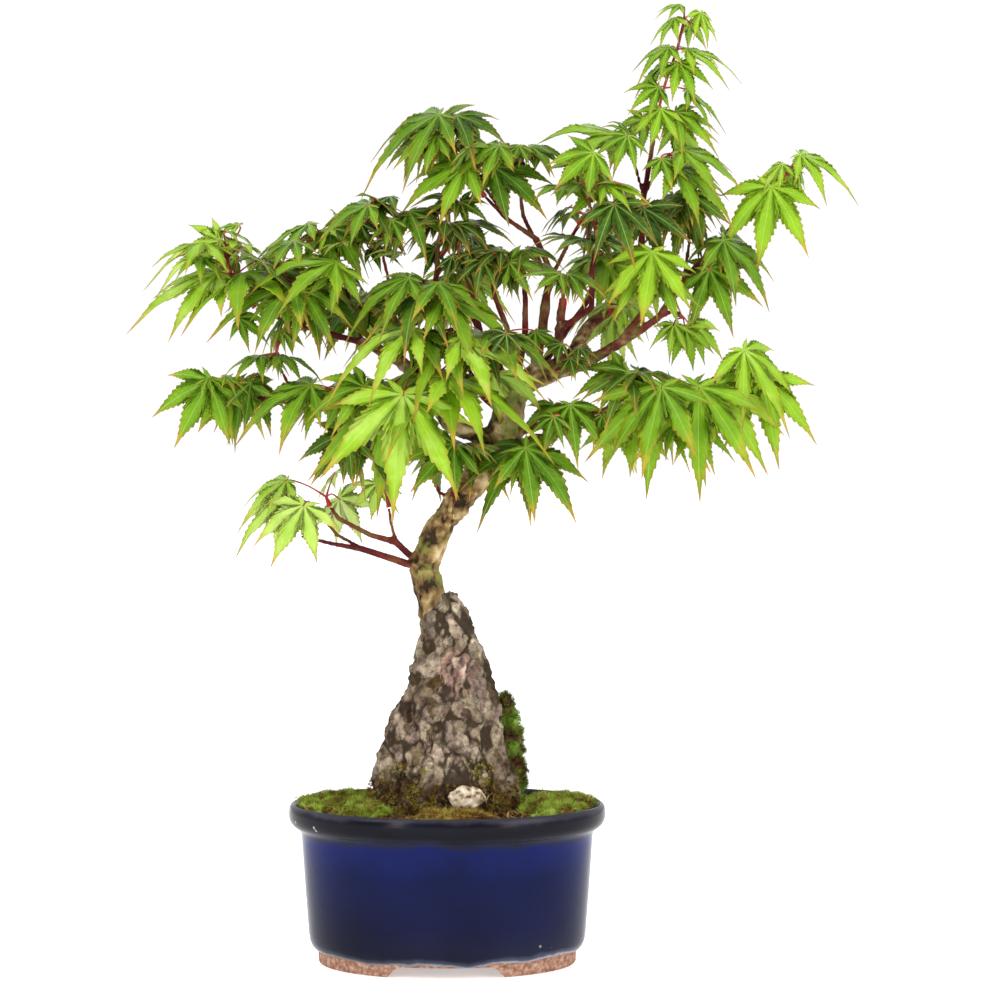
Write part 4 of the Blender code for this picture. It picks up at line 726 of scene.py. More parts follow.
def pot_glaze():
    """Stoneware, thrown and dipped in cobalt glaze: near black on the rim, deep blue on the wall, with a
    pale ragged edge where it ran to a stop above the bare clay foot."""
    look = Look("cobalt_glazed_stoneware", Specular_IOR_Level=0.1)
    height = add(look.tree, "ShaderNodeSeparateXYZ", {"Vector": look.coords}).outputs["Z"]
    cloud = look.noise(55.556, 6.0)
    # Bands lie at shares of the pot's height, and the runs in the glaze move them up and down
    rise = look.math("MULTIPLY_ADD", look.noise(22.222, 5.0), -2 * GLAZE_RUN, height)
    stack = look.span(rise, POT_LOW.z - GLAZE_RUN, POT_HIGH.z - GLAZE_RUN)
    bands = look.ramp(
        stack, (0.082, "#8E6A58"), (0.09, "#7E8794"), (0.1, "#3E4152"), (0.13, "#141628"), (0.3, "#080D2E"),
        (0.6, "#040D38"), (0.8, "#0A1650"), (0.83, "#1C1E33"), (0.88, "#0F0E16"), (0.96, "#12121C"),
        (0.985, "#34323C"))
    clouded = look.mix(1.0, bands, look.span(cloud, 0.3, 0.7, 0.6, 1.4), "MULTIPLY")
    # Chips and pinholes about 1 mm across, thickest under the rim
    pit = look.span(look.cells(8.3333, "Distance"), 0.04, 0.12, 1.0, 0.0)
    sparse = look.math("MULTIPLY_ADD", look.span(stack, 0.74, 0.83), 0.14, cloud)
    chips = look.math("MULTIPLY", pit, look.span(sparse, 0.6, 0.66))
    chipped = look.mix(chips, clouded, linear("#A89C98"))
    clay = look.ramp(look.noise(2.0, 4.0), (0.3, "#75503F"), (0.5, "#96705D"), (0.68, "#B59985"))
    bare = look.span(stack, 0.08, 0.086, 1.0, 0.0)
    look.feed("Roughness", look.span(bare, 0.0, 1.0, 0.2, 0.85))
    look.bump(cloud, 0.1, 0.8)
    return look.done(look.mix(bare, chipped, clay))


def bonsai_soil():
    """Fired clay granules and humus, sieved and mixed: dark brown crumbs with tan ones among them."""
    look = Look("clay_granule_soil", Roughness=0.95, Specular_IOR_Level=0.15)
    return look.done(look.ramp(look.cells(2.381, "Color"), (0.1, "#1E1407"), (0.45, "#3F2E13"),
                               (0.75, "#5C4520"), (0.95, "#8C7040")))


def moss_pile(name, *stops):
    """Cushion moss, a close pile of tiny leafy stems: each stem has its own green, some are dry."""
    look = Look(name, Roughness=0.7, Specular_IOR_Level=0.2)
    wide = look.span(look.noise(10.526, 4.0), 0.36, 0.64, 0.3, 0.75)
    return look.done(look.ramp(look.math("MULTIPLY_ADD", look.trait("tone"), 0.35, wide), *stops))


def plastic_net():
    """Polyethylene netting, extruded: even matte black."""
    return new_material("black_polyethylene_net", Base_Color=linear("#18181A"), Roughness=0.5)[0]


def dry_straw():
    """Dry grass and leaf litter: pale straw."""
    look = Look("dry_straw", Roughness=0.75)
    return look.done(look.ramp(look.trait("tone"), (0.0, "#3A2208"), (0.4, "#7A4E18"), (0.8, "#A07A30"),
                               (1.0, "#C8B070")))


# ---- Leaves ----
class Blade:
    """Where a blade lies: it arches down from its base along each lobe."""

    def __init__(self, base, tip, face, roll):
        self.base = base
        self.length = (tip - base).length
        level = Vector((tip.x - base.x, tip.y - base.y)).length / self.length
        rise = Vector((0, 0, SAG * self.length * level * level))
        run = (tip - base + rise) / self.length
        self.stretch = run.length
        self.along = run.normalized()
        out = (face - self.along * face.dot(self.along)).normalized()
        turn = Matrix.Rotation(math.radians(roll), 3, self.along)
        self.out = turn @ out
        self.across = self.out.cross(self.along)

    def places(self, degrees, reach, beside, lift):
        """Points of the blade, from arrays of each one's lobe, reach, distance beside it and lift."""
        turned = np.radians(degrees)[:, None]
        along, across, out = (np.array(way)[None, :] for way in (self.along, self.across, self.out))
        line = along * np.cos(turned) + across * np.sin(turned)
        side = across * np.cos(turned) - along * np.sin(turned)
        line = line - out * CUPPING * np.abs(np.sin(turned))
        level = (line[:, :2] ** 2).sum(1)
        made = np.array(self.base)[None, :] + line * (self.stretch * reach)[:, None]
        made += side * beside[:, None] + out * lift[:, None]
        made[:, 2] -= SAG * reach * reach / self.length * level
        return made

    def tips(self):
        """Where the lobes that the frame has end."""
        angles, shares = np.array(LOBES, float).T
        return self.places(angles, shares * self.length, np.zeros(5), np.zeros(5))


def lobe_half(share):
    """Half the width of a lobe at a share of its length, as a share of that length."""
    return 0.98 * share ** 1.15 * (1 - share) ** 1.75


def blade_outline(teeth):
    """The corners of a blade's toothed edge: lobe angle, reach, distance beside it, and the place along
    and beside its vein, all as shares of the middle lobe's length."""
    corners = [(-180, 0.02, 0.0, 0.0, 0.0, 0.0)]
    lobes = [(-HEEL_LOBE[0], HEEL_LOBE[1])] + list(LOBES) + [HEEL_LOBE]
    for index, (angle, size) in enumerate(lobes):
        count = teeth if size > SMALL_LOBE else 2
        side = []
        for tooth in range(count):
            at = TEETH_FROM + TEETH_RUN * tooth / count
            notch = at + NOTCH_AFTER
            side += [(at, lobe_half(at) * TOOTH_OUT), (notch, lobe_half(notch) * NOTCH_IN)]
        for at, half in side:
            corners.append((angle, at * size, -half * size, at * size, half * size, at))
        corners.append((angle, size, 0.0, size, 0.0, 1.0))
        for at, half in reversed(side):
            corners.append((angle, at * size, half * size, at * size, half * size, at))
        if index + 1 < len(lobes):
            following, other = lobes[index + 1]
            between = (angle + following) / 2
            depth = VALLEY_AT * (1.0 if min(size, other) > SMALL_LOBE else 0.34)
            spread = math.radians((following - angle) / 2)
            corners.append((between, depth, 0.0, depth * math.cos(spread), depth * math.sin(spread), 0.2))
    return np.array(corners)


class BladeShape:
    """A flat disc of rings, with an upper and an under skin, whose corners know their place on a blade."""

    def __init__(self, teeth, rings):
        outline = blade_outline(teeth)
        count = len(outline)
        bm = bmesh.new()
        bmesh.ops.create_circle(bm, segments=count, radius=1 / rings, cap_ends=True, cap_tris=True)
        for ring in range(2, rings + 1):
            edges = [edge for edge in bm.edges if edge.is_boundary]
            made = bmesh.ops.extrude_edge_only(bm, edges=edges)["geom"]
            new = [item for item in made if isinstance(item, bmesh.types.BMVert)]
            bmesh.ops.scale(bm, vec=(ring / (ring - 1),) * 3, verts=new)
        bmesh.ops.recalc_face_normals(bm, faces=bm.faces)
        if sum(side.normal.z for side in bm.faces) < 0:
            bmesh.ops.reverse_faces(bm, faces=bm.faces)
        bmesh.ops.solidify(bm, geom=bm.faces[:], thickness=0.01)
        self.mesh = mesh_of(bm, "blade")
        points = each_corner(self.mesh)
        out = np.hypot(points[:, 0], points[:, 1])
        turn = np.arctan2(points[:, 1], points[:, 0]) / math.tau * count
        # The circle's first corner may stand at any angle
        first = turn[np.argmax(out)]
        corner = np.round(turn - first).astype(int) % count
        self.out = out
        self.upper = np.where(points[:, 2] > points[:, 2].mean(), 1.0, -1.0)
        self.angle = outline[corner, 0]
        self.reach, self.beside, self.vein, self.off_vein, self.tail = outline[corner, 1:].T * out

    def leaf(self, blade, tone, rng):
        """A leaf of this shape on a blade, as a mesh."""
        size = blade.length
        pleat = self.off_vein * PLEAT * size * rng.uniform(0.4, 1.3) * self.tail
        ripple = np.sin(self.reach * 13 + rng.uniform(0, 6)) * self.off_vein * RIPPLE * size
        skin = self.upper * (SKIN - SKIN_TAPER * self.out)
        curl = -CURL * size * rng.uniform(0.2, 1.6) * self.reach ** 3
        phase = rng.uniform(0, 6)
        sway = self.beside + SWAY * np.sin(self.angle * 1.7 + phase) * self.reach ** 2
        lengths = self.reach * (1 + STRETCH * np.sin(self.angle * 0.9 + phase) * self.reach)
        points = blade.places(self.angle, lengths * size, sway * size, pleat + ripple + skin + curl)
        points[:, 2] -= rng.uniform(0.04, 0.2) * size * lengths ** 3
        mesh = self.mesh.copy()
        move_corners(mesh, points)
        for name, values in (
                ("tone", np.full(len(points), tone)), ("under", self.upper < 0),
                ("reach", self.vein * size / MM), ("beside", self.off_vein * size / MM),
                ("edge", self.out), ("tail", self.tail)):
            store(mesh, name, values)
        mesh.shade_smooth()
        mesh.update()
        return mesh


def find_pose(row, tips):
    """The pose that the frame's leaf of this row has: the one whose lobe tips are corners of its node."""
    _, base, tip, face = row
    base, tip = place(*base), place(*tip)
    best = None
    for shrink in SHRINKS:
        for shift in SHIFTS:
            moved = base + Vector((0, shift * MM, 0))
            middle = Blade(moved, moved + (tip - base) * shrink, face, 0)
            reach = np.array([middle.length])
            end = Vector(middle.places(np.zeros(1), reach, np.zeros(1), np.zeros(1))[0])
            if tips.find(end)[2] > 0.0001:
                continue
            for roll in ROLLS:
                blade = Blade(moved, moved + (tip - base) * shrink, face, roll)
                miss = max(tips.find(Vector(end))[2] for end in blade.tips())
                if best is None or miss < best[0]:
                    best = (miss, blade)
    return best[1] if best and best[0] < 0.0003 else None


def stalk_path(root, blade):
    """A leaf's stalk: it leaves the shoot, arches and meets the blade from behind."""
    base = blade.base
    neck = base + ((root - base).normalized() * 0.7 - blade.along).normalized() * STALK_NECK
    run = root - neck
    middle = (neck + root) / 2 + Vector((0, 0, run.length * 0.06))
    end = base + blade.along * 0.0012 - blade.out * 0.0001
    return smooth_path(list(zip((root, middle, neck, end), STALK_RADII)), 3 if run.length > 0.008 else 2)


def join(objects, name):
    """Joins the objects into one, which keeps their attributes."""
    with bpy.context.temp_override(
            active_object=objects[0], object=objects[0], selected_objects=objects,
            selected_editable_objects=objects):
        bpy.ops.object.join()
    objects[0].name = name
    return objects[0]


def near_start(mesh, wood):
    """Where a shoot leaves its limb: the middle of the corners of its node that lie beside the wood."""
    near = [vertex.co for vertex in mesh.vertices if wood.find_nearest(vertex.co, 0.0014)[0]]
    return sum(near, Vector()) / len(near) if near else None


def sister_blades(blade, root, outline, rng):
    """Leaves that the frame leaves out: they stand with this one on the same joint, a little smaller, and
    are kept where they hide within the crown."""
    made = []
    for turn in (rng.uniform(70, 160), rng.uniform(-160, -70)):
        if rng.random() < 0.15:
            continue
        spin = Matrix.Rotation(math.radians(turn), 3, "Z")
        base = root + spin @ (blade.base - root) * rng.uniform(0.7, 1.0)
        out = spin @ blade.along
        out = Vector((out.x, out.y, min(out.z, 0.1) - rng.uniform(0.1, 0.5))).normalized()
        face = Vector((rng.uniform(-0.4, 0.4), -0.5, 1))
        other = Blade(base, base + out * blade.length * rng.uniform(0.75, 1.05), face, rng.uniform(-20, 20))
        if all(outline.find((end[0], 0, end[2]))[2] < CROWN_GAP for end in other.tips()):
            made.append(other)
    return made


def make_spray(name, shape, materials, wood, outline):
    """One year's shoot: its stem, its stalks and its leaves."""
    lightness, own, rows = SHOOTS[name]
    node = f"spray_{name}"
    mesh = NODES[node].data
    rng = random.Random(name)
    tips = point_tree([vertex.co for vertex in mesh.vertices])
    points = [place(*point) for point in own]
    start = near_start(mesh, wood) or points[0] + Vector((0, 0, -0.006))
    bud = start.lerp(points[0], 0.4)
    low, mid, high = SHOOT_RADII
    paths = [smooth_path([(start, low), (bud, mid)] + [(point, high) for point in points], 4)]
    objects = []
    for row in rows:
        blade = find_pose(row, tips)
        if blade is None:
            continue
        root = points[row[0] - 1]
        paths.append(stalk_path(root, blade))
        tone = lightness + rng.uniform(-0.13, 0.13)
        objects.append(link("leaf", shape.leaf(blade, tone, rng), materials[0]))
        sisters = [] if name in OPEN_SHOOTS else sister_blades(blade, root, outline, rng)
        for other in sisters:
            paths.append(stalk_path(root, other))
            # Added leaves are a little darker than their shoot, painted shade within the crown, and those
            # more than 30 mm behind the middle of the pot's foot are lighter
            depth = (other.base.y - FOOT.y) / MM
            tone = lightness - 0.12 + rng.uniform(-0.15, 0.1) + (0.35 if depth > 30 else 0)
            objects.append(link("leaf", shape.leaf(other, tone, rng), materials[0]))
    objects.append(link("stalks", tube("stalks", paths), materials[1]))
    obj = join(objects, f"foliage_{name}")
    return finish_piece(obj, "leaf", node)


# ---- Panel settings ----
class BonsaiLeafSettings(bpy.types.PropertyGroup):
    """How finely the leaves are made."""

    teeth: bpy.props.IntProperty(
        name="Teeth", description="Teeth on each side of a lobe", default=7, min=2, max=9)
    rings: bpy.props.IntProperty(
        name="Rings", description="Rings of faces from stalk to edge", default=4, min=2, max=8)


def length(name, description, default):
    """A setting in metres."""
    return bpy.props.FloatProperty(
        name=name, description=description, default=default, subtype="DISTANCE", unit="LENGTH", precision=4)


class BonsaiGroundSettings(bpy.types.PropertyGroup):
    """How fine the bark, the rock and the moss are."""

    bark_cell: length("Bark cell", "Size of the bark's faces", 0.00096)
    rock_cell: length("Rock cell", "Size of the rock's faces", 0.0009)
    pebble: length("Pebble", "Width of the rock's pebbles", 0.0085)
    moss_density: bpy.props.FloatProperty(
        name="Moss stems", description="Moss stems on a square centimetre", default=42.0, min=1.0)


def settings():
    """The leaves' and the ground's settings."""
    return bpy.context.scene.bonsai_leaves, bpy.context.scene.bonsai_ground


class BONSAI_OT_foliage(bpy.types.Operator):
    """Make every shoot with its stalks and toothed leaves"""

    bl_idname = "bonsai.foliage"
    bl_label = "Foliage"

    def execute(self, context):
        leaves, _ = settings()
        shape = BladeShape(leaves.teeth, leaves.rings)
        materials = (maple_blade(), young_stalk())
        wood = search(NODES["tree"].data)
        corners = [vertex.co for name in SHOOTS for vertex in NODES[f"spray_{name}"].data.vertices]
        outline = point_tree([(corner.x, 0, corner.z) for corner in corners])
        for name in SHOOTS:
            make_spray(name, shape, materials, wood, outline)
        return {"FINISHED"}


def wood_girths(mesh):
    """How thick the wood is at each corner, in millimetres, measured straight through it."""
    tree = search(mesh)
    thickest = 0.03
    made = []
    for vertex in mesh.vertices:
        inward = -vertex.normal
        hit = tree.ray_cast(vertex.co + inward * 0.0001, inward, thickest)
        made.append((hit[3] or thickest) / MM)
    return np.array(made)


class BONSAI_OT_bark(bpy.types.Operator):
    """Make the trunk and the limbs with ringed, knotted bark"""

    bl_idname = "bonsai.bark"
    bl_label = "Bark"

    def execute(self, context):
        _, ground = settings()
        mesh = remeshed(merged_copy("tree"), ground.bark_cell * (1), 2, BARK_KEPT)
        girths = wood_girths(mesh)
        points = each_corner(mesh)
        ridges = np.empty(len(points))
        stubs = np.zeros(len(points))
        for index, point in enumerate(points):
            where = Vector(point)
            knot = noise.noise(where * 120)
            ring = noise.noise(Vector((where.x * 90, where.y * 90, where.z * 420)))
            grain = noise.noise(where * 600)
            bent = where + noise.noise_vector(where * 130) * 0.003
            lumps = noise.voronoi(Vector((bent.x, bent.y, bent.z * 1.6)) * 120)[0]
            scar = min(lumps[1] - lumps[0], 0.4) * 0.8 - 0.2
            ridges[index] = 0.6 * knot + 0.4 * ring + 0.32 * grain + scar
            for middle, reach in STUBS:
                gap = (where - place(*middle)).length / MM
                stubs[index] = max(stubs[index], min(1.0, max(0.0, (reach - gap) / 1.5)))
        # Twigs stay smooth, and the bark is deepest on the trunk
        depth = np.clip((girths - 2.2) / 9, 0, 1) * 0.0024 + 0.0001
        points += each_corner(mesh, "normal") * (ridges * depth)[:, None]
        move_corners(mesh, points)
        store(mesh, "girth", girths)
        store(mesh, "ridge", ridges * 0.75 + 0.4)
        store(mesh, "stub", stubs)
        mesh.shade_smooth()
        obj = link("bark", mesh, maple_bark())
        finish_piece(obj, "tree", "tree")
        return {"FINISHED"}


class BONSAI_OT_rock(bpy.types.Operator):
    """Make the tall rock of bedded pebbles and the pale chip before it"""

    bl_idname = "bonsai.rock"
    bl_label = "Rock"

    def execute(self, context):
        _, ground = settings()
        mesh = remeshed(merged_copy("rock"), ground.rock_cell * (1), 2)
        points = each_corner(mesh)
        pebbles, joints, pushes = [], [], []
        tints = np.zeros((len(points), 4), np.float32)
        base = FOOT.z + ROCK_BASE
        for index, point in enumerate(points):
            where = Vector(point)
            bent = where + noise.noise_vector(where * 45) * 0.008 + noise.noise_vector(where * 170) * 0.0026
            tall = Vector((bent.x, bent.y, bent.z * 0.42))
            large, seeds = noise.voronoi(Vector((bent.x, bent.y, bent.z * 0.6)) / (ground.pebble * 1.5))
            small, specks = noise.voronoi(tall / (ground.pebble * 0.55))
            crag = noise.ridged_multi_fractal(tall * 62, 0.85, 2.1, 4, 1.0, 2.0)
            fine = noise.fractal(where * 300, 0.8, 2.0, 4)
            gap = large[1] - large[0]
            chip = small[1] - small[0]
            push = min(gap, 0.3) * 3.0 + min(chip, 0.4) * 2.4 + crag * 1.5 + fine * 0.8 - 2.9
            pebbles.append(0.5 + 0.34 * noise.cell(seeds[0] * 7.3) + 0.24 * noise.cell(specks[0] * 5.1))
            broken = 0.6 + noise.noise(where * 85)
            hollow = max(0.0, 0.14 - gap) * 5.5 * broken + max(0.0, 0.16 - chip) * 2.6 * broken
            # The hollows between the crags are painted darker, as shade, and the noise adds dark patches at
            # random
            hollow += max(0.0, 1.0 - crag) * 0.75 + max(0.0, noise.noise(where * 48)) * 0.45
            low = max(0.0, 1 - (where.z - base) / FOOT_DARKENING_RISE)
            joints.append(hollow + low * 0.5)
            pushes.append(push * MM)
            tint = Vector((0.14, 0.10, 0.06)).lerp(Vector((0.34, 0.27, 0.20)), noise.cell(specks[0] * 3.7))
            for middle, reach, colour in ROCK_PATCHES:
                away = (bent - place(*middle)).length / MM
                share = min(1.0, max(0.0, (reach - away) / 3 + 0.5))
                tint = tint.lerp(Vector(linear(colour)[:3]), share)
            tints[index] = (*tint, 1)
        points += each_corner(mesh, "normal") * np.array(pushes, np.float32)[:, None]
        move_corners(mesh, points)
        store(mesh, "pebble", pebbles)
        store(mesh, "joint", joints)
        layer = mesh.attributes.new("patch", "FLOAT_COLOR", "POINT")
        layer.data.foreach_set("color", tints.ravel())
        mesh.shade_smooth()
        finish_piece(link("standing_rock", mesh, pudding_stone()), "rock", "rock")
        chip = remeshed(merged_copy("stone_chip"), 0.0006, 3)
        points = each_corner(chip)
        for index, point in enumerate(points):
            where = Vector(point)
            points[index] += np.array(noise.noise_vector(where * 150) * 0.0017)
            points[index] += np.array(noise.noise_vector(where * 420) * 0.0006)
        move_corners(chip, points)
        chip.shade_smooth()
        finish_piece(link("quartz_chip", chip, pale_chip()), "stone_chip", "stone_chip")
        return {"FINISHED"}


# The pot's drain holes: how far each is from its middle in millimetres, and their radius
DRAIN_AT = 28
DRAIN_RADIUS = 0.006


def pot_outline():
    """The pot's profile in millimetres, from the middle of its floor up the inside, over the rim and down
    to the foot."""
    half = POT_SIZE.x / 2 / MM
    tall = POT_SIZE.z / MM
    return [
        (0, 13), (half - 19.5, 13), (half - 16.9, 14), (half - 16, 16.6), (half - 12.5, 62.8),
        (half - 5.2, 76.2), (half - 4.3, 78.2), (half - 3.2, 79.5), (half - 2.0, tall), (half - 1.0, 79.4),
        (half - 0.3, 78.0), (half, 76.0), (half, 73.6), (half - 0.5, 71.4), (half - 1.9, 69.3),
        (half - 3.8, 67.9), (half - 5.4, 66.7), (half - 6.3, 65.0), (half - 6.6, 61), (half - 8.2, 37),
        (half - 9.9, 15), (half - 10.4, 11.5), (half - 11.6, 8.6), (half - 13.2, 7.0), (half - 14.6, 6.0),
        (half - 14.9, 0.8), (half - 15.5, 0), (half - 23.6, 0), (half - 24.1, 0.5), (half - 24.1, 6), (0, 6),
    ]


class BONSAI_OT_pot(bpy.types.Operator):
    """Turn the oval pot with its rolled rim, foot notches and drain holes"""

    bl_idname = "bonsai.pot"
    bl_label = "Pot"

    def execute(self, context):
        bm = bmesh.new()
        corners = [bm.verts.new((radius * MM, 0, height * MM)) for radius, height in pot_outline()]
        for one, other in zip(corners, corners[1:]):
            bm.edges.new((one, other))
        bmesh.ops.spin(
            bm, geom=bm.verts[:] + bm.edges[:], axis=(0, 0, 1), cent=(0, 0, 0), steps=144,
            angle=math.tau, use_merge=True)
        bmesh.ops.remove_doubles(bm, verts=bm.verts, dist=1e-6)
        bmesh.ops.scale(bm, vec=(1, POT_SIZE.y / POT_SIZE.x, 1), verts=bm.verts)
        bmesh.ops.translate(bm, vec=FOOT, verts=bm.verts)
        bmesh.ops.recalc_face_normals(bm, faces=bm.faces)
        obj = link("glazed_pot", mesh_of(bm, "pot"))
        cutters = [self.notch()] + [self.drain(x) for x in (-DRAIN_AT, DRAIN_AT)]
        for cutter in cutters:
            cut = obj.modifiers.new("cut", "BOOLEAN")
            cut.operation = "DIFFERENCE"
            cut.solver = "EXACT"
            cut.object = cutter
        mesh = evaluated_mesh(obj)
        for cutter in cutters:
            bpy.data.objects.remove(cutter, do_unlink=True)
        mesh.shade_smooth()
        mesh.set_sharp_from_angle(angle=math.radians(38))
        finish_piece(link("glazed_pot", mesh, pot_glaze()), "pot", "pot")
        net = plastic_net()
        for node in ("drain_mesh_left", "drain_mesh_right"):
            dress(node, net)
        return {"FINISHED"}

    def notch(self):
        """A cutter with slanted ends, through the foot from front to back."""
        bm = bmesh.new()
        bmesh.ops.create_cube(bm, size=2)
        for vertex in bm.verts:
            high = vertex.co.z > 0
            half = 24.0 if high else 34.0
            tall = 5.4 if high else -5.4
            vertex.co = (math.copysign(half, vertex.co.x), math.copysign(125, vertex.co.y), tall)
        # The two upper edges that run from front to back
        along = [edge for edge in bm.edges if abs(edge.verts[0].co.z - edge.verts[1].co.z) < 0.1
                 and abs(edge.verts[0].co.x - edge.verts[1].co.x) < 0.1 and edge.verts[0].co.z > 0]
        bmesh.ops.bevel(bm, geom=along, offset=2.2, segments=4, profile=0.5, affect="EDGES", material=-1)
        bmesh.ops.scale(bm, vec=(MM, MM, MM), verts=bm.verts)
        bmesh.ops.translate(bm, vec=FOOT, verts=bm.verts)
        return link("notch", mesh_of(bm, "notch"))

    def drain(self, x):
        """A cutter for one drain hole, through the pot's floor."""
        bm = bmesh.new()
        bmesh.ops.create_cone(
            bm, cap_ends=True, segments=32, radius1=DRAIN_RADIUS, radius2=DRAIN_RADIUS, depth=0.03,
            matrix=Matrix.Translation(place(x, 0, 6)))
        return link("drain", mesh_of(bm, "drain"))


def scatter(name, ground, bit, per_cm2, sizes, upward, seed, below=1.0):
    """Copies of a small bit strewn over the faces of the ground that look up and lie below a height, as
    one mesh with a tone for each copy."""
    tree = bpy.data.node_groups.new(name, "GeometryNodeTree")
    tree.interface.new_socket("Geometry", in_out="INPUT", socket_type="NodeSocketGeometry")
    tree.interface.new_socket("Geometry", in_out="OUTPUT", socket_type="NodeSocketGeometry")
    entry = add(tree, "NodeGroupInput")
    normal = add(tree, "GeometryNodeInputNormal").outputs["Normal"]
    lean = add(tree, "ShaderNodeSeparateXYZ", {"Vector": normal}).outputs["Z"]
    facing = add(tree, "FunctionNodeCompare", {"A": lean, "B": upward}, operation="GREATER_THAN")
    where = add(tree, "GeometryNodeInputPosition").outputs["Position"]
    raised = add(tree, "ShaderNodeSeparateXYZ", {"Vector": where}).outputs["Z"]
    low = add(tree, "FunctionNodeCompare", {"A": raised, "B": below}, operation="LESS_THAN")
    chosen = add(tree, "FunctionNodeBooleanMath", {0: facing.outputs[0], 1: low.outputs[0]})
    spread = add(tree, "GeometryNodeDistributePointsOnFaces", {
        "Mesh": entry.outputs[0], "Selection": chosen.outputs[0], "Density": per_cm2 * 1e4, "Seed": seed})
    size = add(tree, "FunctionNodeRandomValue", {"Min": sizes[0], "Max": sizes[1], "Seed": seed + 1})
    turn = add(tree, "FunctionNodeRandomValue", {0: (-0.5, -0.5, -3.1), 1: (0.5, 0.5, 3.1), "Seed": seed + 2},
               data_type="FLOAT_VECTOR")
    turned = add(tree, "FunctionNodeRotateRotation", {
        "Rotation": spread.outputs["Rotation"], "Rotate By": turn.outputs[0]}, rotation_space="LOCAL")
    source = add(tree, "GeometryNodeObjectInfo", {"Object": bit})
    placed = add(tree, "GeometryNodeInstanceOnPoints", {
        "Points": spread.outputs["Points"], "Instance": source.outputs["Geometry"],
        "Rotation": turned.outputs[0], "Scale": size.outputs[1]})
    tone = add(tree, "FunctionNodeRandomValue", {"Seed": seed + 3})
    toned = add(tree, "GeometryNodeStoreNamedAttribute", {
        "Geometry": placed.outputs[0], "Name": "tone", "Value": tone.outputs[1]}, domain="INSTANCE")
    real = add(tree, "GeometryNodeRealizeInstances", {"Geometry": toned.outputs[0]})
    add(tree, "NodeGroupOutput", {0: real.outputs[0]})
    strewn = link(name, ground.copy())
    strewn.modifiers.new(name, "NODES").node_group = tree
    mesh = evaluated_mesh(strewn)
    mesh.materials.clear()
    return mesh


def uneven(mesh, depth):
    """The mesh with dips and swells across its skin, none of them beyond where it was."""
    points = each_corner(mesh)
    swells = [noise.noise(Vector(point) * 130) + 0.4 * noise.noise(Vector(point) * 340) for point in points]
    points += each_corner(mesh, "normal") * ((np.array(swells, np.float32) - 0.55) * depth)[:, None]
    move_corners(mesh, points)
    return mesh


def moss_stem():
    """A tuft of moss: six slim leaves that lean out from one foot."""
    bm = bmesh.new()
    for index in range(6):
        lean = Matrix.Rotation(index * math.tau / 6, 4, "Z") @ Matrix.Rotation(0.55, 4, "Y")
        made = bmesh.ops.create_cone(
            bm, cap_ends=True, cap_tris=False, segments=3, radius1=0.00024, radius2=0, depth=0.0034,
            matrix=lean @ Matrix.Translation((0, 0, 0.0014)))
        bmesh.ops.remove_doubles(bm, verts=made["verts"], dist=1e-6)
    return mesh_of(bm, "moss_stem")


def litter_bit(long, thick):
    """A dry stalk or needle: one slim bent rod."""
    start, middle, end = Vector((-long / 2, 0, 0)), Vector((0, long * 0.12, 0)), Vector((long / 2, 0, thick))
    return tube("bit", [[(start, thick), (middle, thick), (end, thick * 0.6)]], 0)


def crumb():
    """A grain of soil: a small flattened lump."""
    bm = bmesh.new()
    bmesh.ops.create_icosphere(bm, subdivisions=1, radius=0.0011)
    bmesh.ops.scale(bm, vec=(1, 0.8, 0.7), verts=bm.verts)
    return mesh_of(bm, "crumb")


